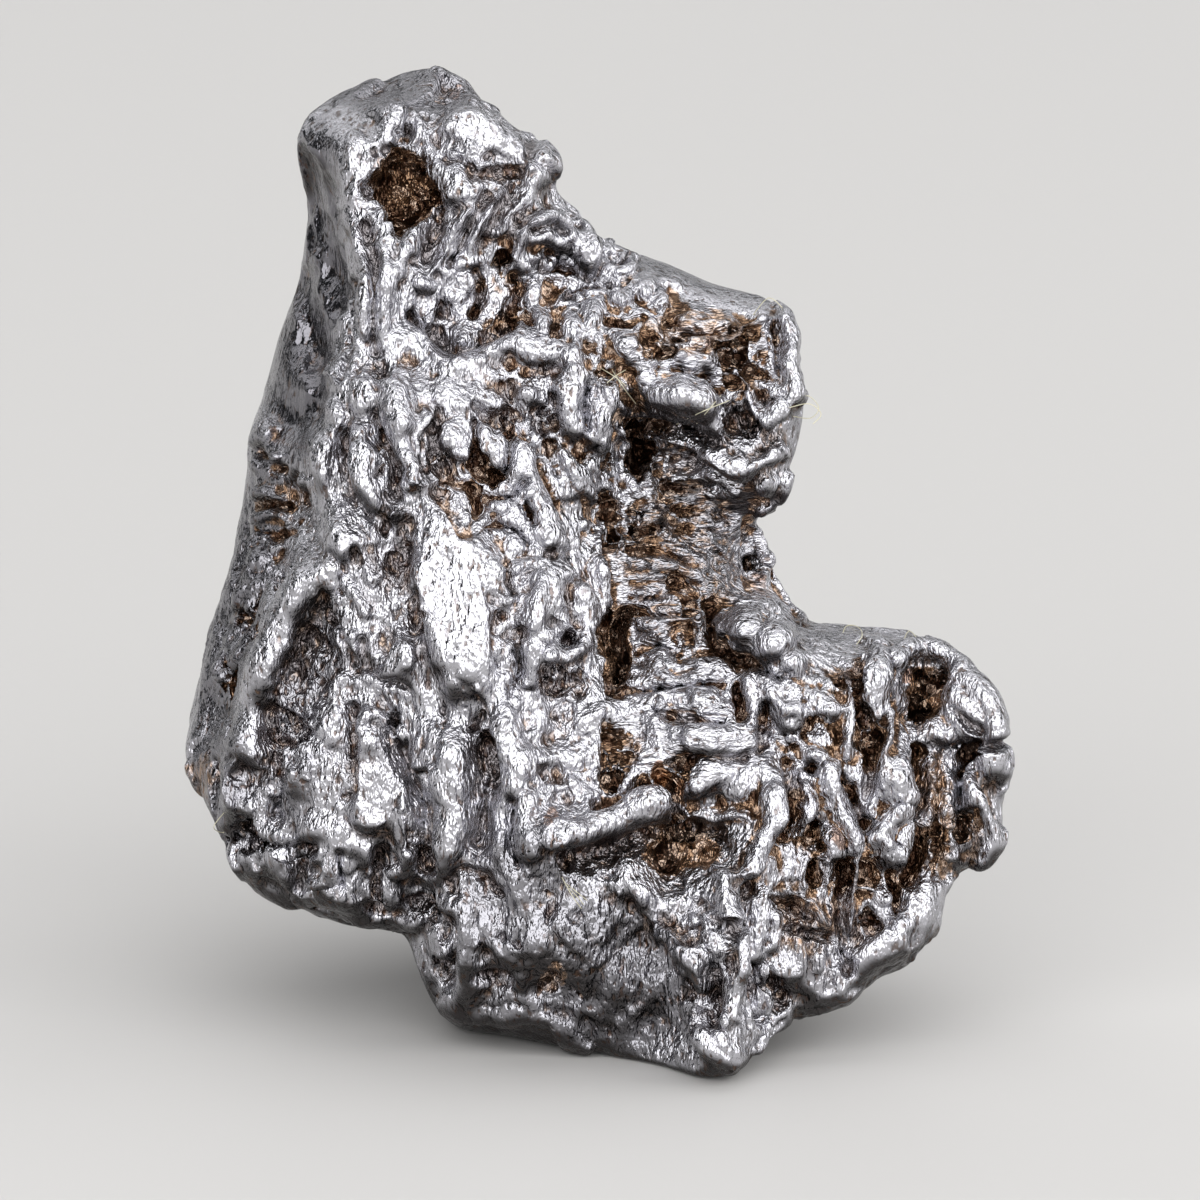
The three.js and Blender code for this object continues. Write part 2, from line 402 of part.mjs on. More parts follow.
// Moves a point along the slope of the skin until it lies on it.
function settle(point) {
  const { x, y, z } = point;
  const here = skin(x, y, z);
  const slope = new THREE.Vector3(
    skin(x + PROBE, y, z) - here, skin(x, y + PROBE, z) - here, skin(x, y, z + PROBE) - here);
  slope.divideScalar(PROBE);
  const step = THREE.MathUtils.clamp(-here / slope.length(), -LONGEST_STEP, LONGEST_STEP);
  const normal = slope.normalize();
  point.addScaledVector(normal, step);
  return normal;
}

// How far the outline is from the sheet's centre in one direction.
function outlineReach(directionX, directionV) {
  const [centreX, centreV] = SHEET_CENTRE;
  let farthest = 0;
  for (let i = 0; i < OUTLINE_STEPS; i += 1) {
    const from = outline[i];
    const to = outline[(i + 1) % OUTLINE_STEPS];
    const fromSide = directionX * (from.y - centreV) - directionV * (from.x - centreX);
    const toSide = directionX * (to.y - centreV) - directionV * (to.x - centreX);
    if ((fromSide > 0) === (toSide > 0)) continue;
    const share = fromSide / (fromSide - toSide);
    const x = THREE.MathUtils.lerp(from.x, to.x, share) - centreX;
    const v = THREE.MathUtils.lerp(from.y, to.y, share) - centreV;
    farthest = Math.max(farthest, x * directionX + v * directionV);
  }
  return farthest;
}

// Draws a point of the stock ball onto the sheet, on the front or on the back.
function placeOnSheet(direction) {
  const fromFront = Math.acos(THREE.MathUtils.clamp(direction.z, -1, 1));
  const girdle = Math.acos(1 - 2 * FRONT_SHARE);
  const isFront = fromFront < girdle;
  const turn = (isFront ? fromFront / girdle : (Math.PI - fromFront) / (Math.PI - girdle)) * Math.PI / 2;
  const flat = Math.hypot(direction.x, direction.y) || 1;
  const directionX = direction.x / flat;
  const directionV = direction.y / flat;
  const reach = Math.sin(turn) * outlineReach(directionX, directionV);
  const x = SHEET_CENTRE[0] + directionX * reach;
  const v = SHEET_CENTRE[1] + directionV * reach;
  const far = isFront ? frontAt(x, v) : backAt(x, v);
  return new THREE.Vector3(x, v, THREE.MathUtils.lerp(edgeDepthAt(x, v), far, Math.sqrt(Math.cos(turn))));
}

function neighboursOf(index, count) {
  const neighbours = Array.from({ length: count }, () => new Set());
  for (let i = 0; i < index.length; i += 3) {
    for (let corner = 0; corner < 3; corner += 1) {
      const here = index[i + corner];
      neighbours[here].add(index[i + (corner + 1) % 3]);
      neighbours[here].add(index[i + (corner + 2) % 3]);
    }
  }
  return neighbours.map((set) => [...set]);
}

// Eases every point along the skin, towards the neighbours that are farthest away.
function ease(points, neighbours) {
  const pull = new THREE.Vector3();
  const towards = new THREE.Vector3();
  for (let i = 0; i < points.length; i += 1) {
    const normal = settle(points[i]);
    let weights = 0;
    pull.set(0, 0, 0);
    for (const near of neighbours[i]) {
      const { x, y, z } = points[near];
      const weight = towards.subVectors(points[near], points[i]).lengthSq();
      const fineness = z > edgeDepthAt(x, y) ? FRONT_FINENESS : 1;
      pull.addScaledVector(towards, weight * fineness);
      weights += weight * fineness;
    }
    pull.addScaledVector(normal, -pull.dot(normal));
    points[i].addScaledVector(pull, EASE_STEP / weights);
  }
}

function facing(points, a, b, c) {
  const side = new THREE.Vector3().subVectors(points[b], points[a]);
  return side.cross(new THREE.Vector3().subVectors(points[c], points[a]));
}

// Turns an edge to the other diagonal of its two triangles where that one is shorter and faces out.
function turnLongEdges(index, points) {
  const edgeKey = (a, b) => Math.min(a, b) * points.length + Math.max(a, b);
  const edges = new Map();
  for (let corner = 0; corner < index.length; corner += 1) {
    const from = index[corner];
    const next = index[corner % 3 === 2 ? corner - 2 : corner + 1];
    const key = edgeKey(from, next);
    if (edges.has(key)) edges.get(key).push(corner);
    else edges.set(key, [corner]);
  }
  const turned = new Set();
  for (const [first, second] of edges.values()) {
    const triangles = [Math.floor(first / 3), Math.floor(second / 3)];
    if (triangles.some((triangle) => turned.has(triangle))) continue;
    const [a, b, c] = [0, 1, 2].map((step) => index[triangles[0] * 3 + (first + step) % 3]);
    const d = index[triangles[1] * 3 + (second + 2) % 3];
    const isShorter = points[c].distanceTo(points[d]) < SHORTER_EDGE * points[a].distanceTo(points[b]);
    if (!isShorter || edges.has(edgeKey(c, d))) continue;
    const outward = facing(points, a, b, c).add(facing(points, b, a, d));
    if (facing(points, a, d, c).dot(outward) <= 0 || facing(points, d, b, c).dot(outward) <= 0) continue;
    index.set([a, d, c], triangles[0] * 3);
    index.set([d, b, c], triangles[1] * 3);
    triangles.forEach((triangle) => turned.add(triangle));
  }
}

// The stock ball drawn onto the lump, its points eased along the skin until they are evenly spread.
function sculpt() {
  const stock = new THREE.IcosahedronGeometry(1, STOCK_DETAIL);
  stock.deleteAttribute("normal");
  stock.deleteAttribute("uv");
  const ball = mergeVertices(stock, MERGE_TOLERANCE);
  const place = ball.getAttribute("position");
  const index = ball.getIndex().array;
  const points = [];
  for (let i = 0; i < place.count; i += 1) {
    points.push(placeOnSheet(new THREE.Vector3().fromBufferAttribute(place, i)));
  }
  for (let pass = 0; pass < EASE_PASSES; pass += 1) {
    const neighbours = neighboursOf(index, points.length);
    for (let round = 0; round < EASE_ROUNDS; round += 1) ease(points, neighbours);
    turnLongEdges(index, points);
  }
  for (let round = 0; round < SETTLE_ROUNDS; round += 1) points.forEach(settle);
  points.forEach((point, i) => place.setXYZ(i, point.x, point.y, point.z));
  return ball;
}

// Stands the sheet up, leaning back, and wears the lowest points flat where they touch the ground.
function stand(geometry) {
  const lean = THREE.MathUtils.degToRad(90 - SHEET_LEAN);
  geometry.rotateX(lean);
  geometry.computeBoundingBox();
  const { min, max } = geometry.boundingBox;
  geometry.translate(-(min.x + max.x) / 2, -(min.y + max.y) / 2, -min.z - FOOT_FLAT);
  const place = geometry.getAttribute("position");
  for (let i = 0; i < place.count; i += 1) place.setZ(i, Math.max(0, place.getZ(i)));
  geometry.computeVertexNormals();
  return geometry;
}

const metal = new THREE.MeshStandardMaterial({
  color: METAL_COLOUR, roughness: METAL_ROUGHNESS, metalness: 1, flatShading: true });
const meteorite = new THREE.Mesh(stand(sculpt()), metal);
meteorite.name = "meteorite";

const part = new THREE.Group();
part.add(meteorite);

export default part;
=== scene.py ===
import math

import bmesh
import bpy
import numpy as np
from mathutils import Matrix, Vector, noise
from mathutils.bvhtree import BVHTree


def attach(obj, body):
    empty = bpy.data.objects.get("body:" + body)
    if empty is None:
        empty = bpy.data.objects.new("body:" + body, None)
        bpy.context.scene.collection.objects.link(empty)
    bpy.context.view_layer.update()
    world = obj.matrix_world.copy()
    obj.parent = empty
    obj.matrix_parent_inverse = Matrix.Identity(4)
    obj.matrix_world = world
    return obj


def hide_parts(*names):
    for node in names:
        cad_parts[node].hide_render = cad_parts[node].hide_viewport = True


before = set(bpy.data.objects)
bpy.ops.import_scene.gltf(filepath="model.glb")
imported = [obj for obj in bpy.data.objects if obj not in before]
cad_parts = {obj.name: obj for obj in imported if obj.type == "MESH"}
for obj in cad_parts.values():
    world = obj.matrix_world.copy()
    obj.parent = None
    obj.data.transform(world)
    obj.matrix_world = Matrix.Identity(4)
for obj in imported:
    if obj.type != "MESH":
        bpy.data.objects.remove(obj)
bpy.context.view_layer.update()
scene = bpy.context.scene
millimetre = 0.001

# The side that shows most is read as a sheet, in millimetres: x to the right and v up it.
sheet = {
    "lean": 15.0,  # degrees that it leans back
    "topV": 25.6,  # v of the highest point
    "middleX": 0.025,  # x of the middle of the outline
}
lean = math.radians(sheet["lean"])
upSheet = np.array((0.0, math.sin(lean), math.cos(lean)))
outOfSheet = np.array((0.0, -math.cos(lean), math.sin(lean)))

# What the metal has on each part of that side.
# Strokes (beads, folds, scoops, creases) are half width, height and the places that they run through.
# Spots (domes, pits) are x, v, half width, half height, turn in degrees and height.
# Beads, folds and domes stand up. Scoops, creases and pits go down.
head = {
    "beads": [
        (0.24, 0.26, [(-5.85, 23.7), (-5.9, 22.8), (-5.95, 22.0), (-5.65, 21.2), (-5.6, 20.3),
            (-5.55, 19.0)]),
        (0.3, 0.36, [(-4.85, 24.4), (-5.3, 23.7), (-5.6, 22.9), (-5.75, 22.2), (-5.3, 21.65)]),
        (0.26, 0.3, [(-5.2, 21.5), (-5.15, 21.0), (-5.25, 20.0), (-5.25, 19.1)]),
        (0.2, 0.32, [(-4.15, 22.0), (-4.5, 21.3), (-4.9, 20.5)]),
        (0.24, 0.26, [(-3.05, 21.95), (-3.5, 21.3), (-3.75, 20.8), (-4.2, 20.3)]),
        (0.22, 0.22, [(-2.2, 22.3), (-2.6, 21.8), (-2.9, 21.3), (-3.2, 20.8)]),
        (0.22, 0.22, [(-1.3, 22.8), (-1.8, 22.2), (-2.3, 21.5)]),
        (0.12, 0.18, [(-4.4, 24.3), (-4.35, 24.0), (-4.5, 23.75)]),
    ],
    "folds": [
        (0.4, 0.22, [(-2.4, 23.85), (-1.7, 23.5), (-1.2, 23.35)]),
        (0.3, 0.14, [(-6.25, 23.9), (-6.2, 23.2), (-6.1, 22.4)]),
    ],
    "creases": [
        (0.14, 0.28, [(-5.58, 21.6), (-5.42, 20.5), (-5.4, 19.2), (-5.4, 18.5)]),
        (0.16, 0.25, [(-3.85, 21.9), (-3.95, 21.2), (-4.1, 20.6)]),
        (0.16, 0.22, [(-2.65, 22.3), (-3.1, 21.5), (-3.5, 20.7)]),
        (0.16, 0.22, [(-1.8, 22.6), (-2.35, 21.9), (-2.75, 21.1)]),
        (0.16, 0.2, [(-3.7, 23.3), (-3.2, 23.15), (-2.7, 22.9), (-1.9, 22.9)]),
        (0.14, 0.18, [(-1.55, 23.75), (-1.5, 23.3), (-1.1, 22.9)]),
    ],
    "domes": [
        (-2.9, 24.0, 0.8, 0.5, -25, 0.35), (-1.05, 23.15, 0.5, 0.5, 0, 0.4),
        (-3.3, 22.4, 0.5, 0.4, 0, 0.25), (-1.5, 22.6, 0.25, 0.22, 30, 0.2),
        (-3.05, 20.3, 0.3, 0.28, 0, 0.24), (-3.5, 19.9, 0.28, 0.2, 20, 0.18),
    ],
    "pits": [
        (-4.7, 22.55, 0.85, 1.1, 12, 0.75), (-4.75, 21.6, 0.3, 0.4, 0, 0.5),
        (-4.7, 24.0, 0.2, 0.35, -10, 0.45), (-2.75, 23.3, 0.2, 0.2, 0, 0.2),
        (-3.4, 23.3, 0.22, 0.18, 0, 0.25), (-3.9, 23.7, 0.14, 0.22, 0, 0.25),
    ],
}
neck = {
    "beads": [
        (0.22, 0.4, [(-1.95, 20.7), (-1.75, 21.4), (-1.35, 21.75), (-0.9, 21.75), (-0.5, 21.4),
            (0.05, 20.75)]),
        (0.18, 0.22, [(-1.7, 21.2), (-1.2, 21.3), (-0.6, 21.2)]),
        (0.16, 0.25, [(-1.95, 20.5), (-1.6, 20.65), (-1.3, 20.8)]),
        (0.12, 0.22, [(0.1, 21.05), (0.6, 21.0), (1.05, 20.7), (0.6, 20.5), (0.2, 20.62)]),
        (0.14, 0.22, [(-1.2, 20.75), (-0.7, 20.8), (-0.1, 20.55)]),
        (0.12, 0.2, [(-1.3, 20.45), (-0.6, 20.35), (-0.1, 20.3)]),
    ],
    "folds": [
        (0.5, 0.32, [(-3.3, 18.2), (-2.7, 18.35), (-2.0, 18.65), (-1.5, 18.5), (-1.0, 18.4)]),
        (0.5, 0.28, [(-5.1, 18.75), (-4.5, 18.75), (-3.9, 18.4)]),
        (0.5, 0.2, [(-4.6, 17.7), (-3.8, 17.5), (-3.0, 17.4)]),
    ],
    "creases": [
        (0.12, 0.28, [(-1.5, 21.55), (-1.1, 21.6), (-0.7, 21.45)]),
        (0.18, 0.5, [(-4.5, 19.35), (-4.0, 19.0), (-3.4, 18.5), (-2.7, 18.8), (-2.0, 19.2)]),
        (0.14, 0.3, [(-1.9, 20.3), (-1.85, 19.8), (-1.95, 19.2)]),
        (0.14, 0.3, [(-3.0, 19.4), (-2.75, 19.9), (-2.9, 20.5)]),
        (0.14, 0.3, [(0.15, 21.0), (0.1, 20.5), (-0.2, 20.1)]),
    ],
    "domes": [
        (-2.4, 19.75, 0.6, 0.45, 35, 0.2), (-1.8, 20.75, 0.25, 0.3, 0, 0.25),
        (-1.4, 20.0, 0.2, 0.3, -20, 0.26), (-0.6, 19.8, 0.3, 0.2, 15, 0.24),
        (-1.2, 19.3, 0.26, 0.26, 0, 0.24), (-0.5, 19.2, 0.24, 0.3, 0, 0.24),
        (-2.2, 17.9, 0.5, 0.3, 10, 0.22), (-1.6, 17.4, 0.32, 0.26, 0, 0.24),
        (-3.2, 17.2, 0.4, 0.25, 0, 0.2), (-2.4, 17.2, 0.3, 0.3, 20, 0.2),
    ],
    "pits": [
        (-0.8, 20.65, 0.7, 0.4, -15, 0.45), (-2.2, 20.65, 0.2, 0.36, -20, 0.65),
        (0.3, 20.15, 0.4, 0.16, 15, 0.55), (0.6, 20.78, 0.36, 0.14, -10, 0.35),
        (-1.6, 19.4, 0.2, 0.3, 0, 0.4), (-0.4, 19.95, 0.3, 0.14, 15, 0.4), (-0.9, 19.0, 0.2, 0.25, 0, 0.35),
        (-1.2, 18.2, 0.14, 0.3, 0, 0.3),
    ],
}
leftSide = {
    "beads": [
        (0.14, 0.25, [(-6.1, 19.7), (-6.2, 19.2), (-6.3, 18.4), (-6.5, 17.9)]),
        (0.14, 0.25, [(-8.5, 14.3), (-8.1, 14.45), (-7.7, 14.4)]),
        (0.12, 0.22, [(-8.5, 14.9), (-8.1, 15.0), (-7.7, 14.85)]),
        (0.14, 0.24, [(-8.0, 12.6), (-8.1, 12.1), (-8.25, 11.4)]),
        (0.14, 0.22, [(-8.45, 10.9), (-8.6, 10.3), (-8.75, 9.6)]),
        (0.12, 0.2, [(-9.0, 12.2), (-8.7, 12.7), (-8.5, 13.1)]),
        (0.12, 0.2, [(-7.2, 13.2), (-7.25, 13.6), (-7.1, 14.0)]),
    ],
    "scoops": [
        (0.5, 0.35, [(-7.3, 23.2), (-6.9, 21.8), (-6.5, 20.6), (-6.2, 19.6)]),
        (0.4, 0.3, [(-7.2, 20.4), (-7.1, 19.0), (-6.9, 17.6), (-6.7, 16.6)]),
        (0.4, 0.25, [(-8.7, 15.5), (-8.9, 13.8), (-9.3, 11.8)]),
    ],
    "creases": [
        (0.14, 0.25, [(-6.0, 20.2), (-6.0, 19.5), (-6.15, 18.5), (-6.3, 17.9)]),
        (0.12, 0.25, [(-8.4, 16.1), (-8.0, 15.6), (-7.7, 15.5)]),
        (0.12, 0.22, [(-8.5, 14.65), (-8.0, 14.7), (-7.6, 14.6)]),
        (0.12, 0.22, [(-8.4, 14.0), (-7.9, 13.9), (-7.5, 13.95)]),
    ],
    "domes": [
        (-8.2, 16.5, 0.18, 0.38, -35, 0.3), (-8.0, 15.85, 0.25, 0.15, 20, 0.24),
        (-8.45, 15.6, 0.12, 0.25, 0, 0.22), (-8.3, 13.3, 0.34, 0.3, 0, 0.32),
        (-7.9, 13.6, 0.2, 0.2, 0, 0.2), (-7.2, 15.2, 0.12, 0.2, 0, 0.22), (-7.75, 12.3, 0.2, 0.1, 0, 0.2),
    ],
    "pits": [
        (-7.7, 12.7, 0.26, 0.3, 0, 0.5), (-8.8, 11.6, 0.17, 0.55, -25, 0.45),
        (-9.1, 10.4, 0.2, 0.55, 5, 0.45), (-9.65, 8.6, 0.09, 0.22, 0, 0.2), (-8.9, 9.2, 0.1, 0.16, 0, 0.2),
        (-7.9, 15.5, 0.18, 0.16, 0, 0.3), (-7.3, 14.2, 0.1, 0.12, 0, 0.25),
        (-8.4, 11.5, 0.12, 0.5, -10, 0.25),
    ],
}
trunk = {
    "beads": [
        (0.32, 0.32, [(-6.4, 16.9), (-6.65, 16.0), (-6.65, 15.2), (-6.4, 14.4), (-6.15, 13.5)]),
        (0.36, 0.34, [(-5.75, 16.4), (-5.7, 15.6), (-5.45, 14.75)]),
        (0.28, 0.32, [(-4.95, 17.6), (-4.75, 16.9), (-4.4, 15.9), (-4.05, 15.2)]),
        (0.2, 0.3, [(-2.9, 13.75), (-2.6, 13.3), (-2.35, 12.8), (-2.2, 12.3)]),
        (0.14, 0.2, [(-5.9, 14.0), (-5.6, 13.3), (-5.45, 12.8)]),
        (0.14, 0.2, [(-5.5, 14.3), (-5.25, 13.5), (-5.2, 12.9)]),
        (0.14, 0.2, [(-4.95, 14.7), (-4.85, 14.1), (-5.0, 13.5)]),
        (0.14, 0.2, [(-6.1, 12.8), (-5.8, 12.4), (-5.65, 12.0)]),
        (0.12, 0.22, [(-1.9, 13.05), (-1.5, 13.25), (-1.0, 13.2)]),
        (0.3, 0.24, [(-1.8, 16.0), (-1.6, 15.3), (-1.2, 14.4), (-0.95, 13.8)]),
    ],
    "creases": [
        (0.2, 0.34, [(-6.15, 16.4), (-6.05, 15.5), (-5.85, 14.8), (-5.5, 14.4)]),
        (0.14, 0.34, [(-5.35, 16.8), (-5.05, 16.1), (-4.85, 15.5), (-4.9, 14.8)]),
        (0.26, 0.32, [(-4.5, 16.4), (-3.9, 15.2), (-3.3, 14.4), (-2.85, 13.6), (-2.55, 12.9), (-2.4, 12.3),
            ]),
        (0.3, 0.2, [(-4.9, 14.0), (-4.8, 12.7), (-4.4, 11.4), (-4.0, 10.3), (-3.8, 9.6)]),
        (0.12, 0.25, [(-3.95, 16.7), (-3.85, 16.1), (-3.9, 15.7)]),
        (0.14, 0.35, [(-3.8, 15.6), (-3.3, 15.25), (-2.9, 15.0), (-2.7, 14.5)]),
        (0.12, 0.3, [(-2.9, 16.8), (-2.95, 15.9), (-2.7, 15.4), (-2.1, 15.3)]),
        (0.12, 0.25, [(-2.1, 16.9), (-2.0, 16.2), (-2.1, 15.4)]),
        (0.12, 0.25, [(-2.9, 17.1), (-2.4, 16.8), (-1.8, 16.9)]),
        (0.14, 0.3, [(-2.6, 14.8), (-2.0, 14.8), (-1.7, 15.2)]),
        (0.12, 0.25, [(-2.6, 14.1), (-2.0, 14.05), (-1.6, 13.7)]),
        (0.1, 0.15, [(-4.8, 12.0), (-4.3, 11.9), (-3.9, 11.8)]),
        (0.14, 0.22, [(-2.3, 11.9), (-2.4, 11.2), (-2.3, 10.6)]),
        (0.18, 0.3, [(-1.85, 11.0), (-1.8, 10.5), (-1.95, 10.0)]),
    ],
    "domes": [
        (-5.65, 17.35, 0.36, 0.65, 5, 0.24), (-3.6, 16.3, 0.4, 0.4, 0, 0.2),
        (-2.5, 16.0, 0.35, 0.5, 0, 0.2), (-3.3, 15.8, 0.3, 0.25, 0, 0.16),
        (-2.6, 16.45, 0.3, 0.25, 20, 0.16), (-4.2, 16.7, 0.28, 0.35, -20, 0.18),
        (-0.95, 13.9, 0.18, 0.36, -8, 0.25), (-1.5, 15.0, 0.2, 0.3, -15, 0.2),
        (-2.4, 14.6, 0.25, 0.2, 0, 0.2), (-1.9, 13.6, 0.25, 0.2, 20, 0.2),
    ],
    "pits": [
        (-5.4, 16.3, 0.26, 0.2, 0, 0.26), (-5.35, 15.6, 0.14, 0.2, 0, 0.2), (-5.0, 14.8, 0.1, 0.3, 0, 0.2),
        (-1.6, 14.35, 0.2, 0.36, 10, 0.55), (-2.0, 12.6, 0.25, 0.4, 0, 0.25),
        (-5.35, 10.65, 0.12, 0.12, 0, 0.15), (-2.95, 9.25, 0.46, 0.24, 42, 0.75),
        (-1.3, 16.7, 0.2, 0.5, 5, 0.4), (-1.05, 16.0, 0.14, 0.5, 15, 0.35),
    ],
}
leftLobe = {
    "beads": [
        (0.4, 0.32, [(-6.6, 13.1), (-7.2, 12.6), (-7.7, 11.8), (-8.1, 10.8), (-8.4, 9.8), (-8.6, 8.8),
            (-8.5, 8.3)]),
        (0.36, 0.34, [(-8.8, 8.1), (-8.8, 7.4), (-8.95, 6.8)]),
        (0.22, 0.3, [(-7.9, 5.9), (-7.5, 5.3), (-7.2, 4.9), (-6.4, 4.8), (-5.8, 4.5), (-5.2, 4.25),
            (-4.3, 4.3)]),
        (0.16, 0.24, [(-5.8, 9.1), (-5.7, 9.4), (-5.35, 9.45), (-5.1, 9.2)]),
    ],
    "folds": [
        (0.5, 0.24, [(-3.5, 8.4), (-3.5, 6.8), (-3.75, 5.6)]),
        (0.5, 0.26, [(-5.5, 8.7), (-5.45, 7.8), (-5.6, 6.9)]), (0.45, 0.22, [(-6.7, 9.6), (-6.5, 8.9)]),
        (0.4, 0.2, [(-7.0, 6.6), (-6.4, 6.5), (-5.6, 6.0)]),
        (0.4, 0.2, [(-4.9, 8.3), (-4.7, 7.0), (-4.6, 5.6)]), (0.5, 0.18, [(-4.5, 11.0), (-3.9, 10.0)]),
        (0.45, 0.2, [(-6.0, 11.2), (-5.4, 10.7), (-4.8, 10.4)]),
        (0.4, 0.24, [(-8.9, 5.9), (-8.4, 5.1), (-7.7, 4.6)]),
    ],
    "creases": [
        (0.14, 0.25, [(-8.95, 8.35), (-8.5, 8.15), (-8.2, 7.9)]),
        (0.24, 0.42, [(-4.75, 8.6), (-4.3, 7.2), (-4.15, 5.6)]), (0.16, 0.3, [(-7.35, 5.9), (-7.3, 5.2)]),
        (0.14, 0.26, [(-6.2, 5.9), (-6.25, 5.2)]), (0.18, 0.3, [(-5.35, 6.0), (-5.3, 5.0)]),
        (0.18, 0.4, [(-8.3, 6.3), (-7.6, 6.05), (-7.0, 6.1)]),
        (0.2, 0.3, [(-6.0, 9.6), (-5.95, 8.6), (-6.1, 7.4)]),
        (0.26, 0.34, [(-8.0, 9.4), (-7.85, 8.0), (-7.9, 7.0)]),
        (0.14, 0.22, [(-6.5, 11.9), (-6.2, 11.3), (-5.9, 10.8)]),
        (0.14, 0.22, [(-5.7, 11.3), (-5.6, 10.8), (-5.2, 10.3), (-4.6, 10.1)]),
    ],
    "pits": [
        (-7.3, 10.6, 0.55, 1.1, -15, 0.26), (-7.4, 9.0, 0.45, 0.6, 0, 0.25),
        (-4.95, 9.4, 0.22, 0.32, 0, 0.5), (-8.7, 6.35, 0.5, 0.16, 5, 0.5),
        (-4.2, 4.65, 0.32, 0.22, 15, 0.5),
    ],
}
middleFront = {
    "beads": [
        (0.22, 0.26, [(-1.6, 7.4), (-1.65, 6.7), (-1.5, 6.0)]),
        (0.22, 0.22, [(-3.6, 2.3), (-3.2, 1.95), (-2.0, 1.9), (-1.2, 1.85), (-0.9, 1.7), (-0.6, 1.3),
            (-0.2, 1.05)]),
    ],
    "folds": [
        (0.45, 0.3, [(-2.15, 9.2), (-2.0, 8.3), (-1.9, 7.7)]),
        (0.3, 0.22, [(-2.4, 7.4), (-2.35, 6.6), (-2.3, 6.0)]),
        (0.5, 0.26, [(-3.3, 4.7), (-3.1, 3.7), (-3.1, 2.6)]), (0.25, 0.24, [(-3.95, 4.0), (-3.8, 3.3)]),
        (0.35, 0.2, [(-2.7, 4.6), (-2.5, 3.9), (-2.1, 3.4)]),
        (0.4, 0.18, [(-1.9, 5.0), (-1.5, 4.4), (-1.3, 3.8)]),
        (0.3, 0.16, [(-1.7, 2.9), (-1.6, 2.4), (-1.4, 2.1)]),
    ],
    "creases": [
        (0.3, 0.4, [(-2.6, 8.8), (-2.6, 8.0), (-2.75, 7.2), (-2.8, 6.3)]),
        (0.14, 0.26, [(-1.95, 7.3), (-2.05, 6.3), (-1.9, 5.7)]), (0.14, 0.25, [(-2.8, 2.95), (-2.0, 2.85)]),
        (0.14, 0.2, [(-3.6, 5.2), (-3.2, 5.6), (-2.7, 5.4), (-2.3, 5.0)]),
        (0.22, 0.34, [(-3.55, 4.3), (-3.5, 3.4), (-3.6, 2.8)]),
    ],
    "pits": [
        (-3.85, 3.0, 0.26, 0.24, 0, 0.4), (-2.3, 3.95, 0.22, 0.16, 0, 0.22),
        (-1.9, 3.8, 0.16, 0.14, 0, 0.18), (-0.95, 2.9, 0.26, 0.36, 0, 0.16), (-1.2, 5.1, 0.2, 0.2, 0, 0.12),
        (-0.4, 4.4, 0.2, 0.25, 0, 0.12),
    ],
}
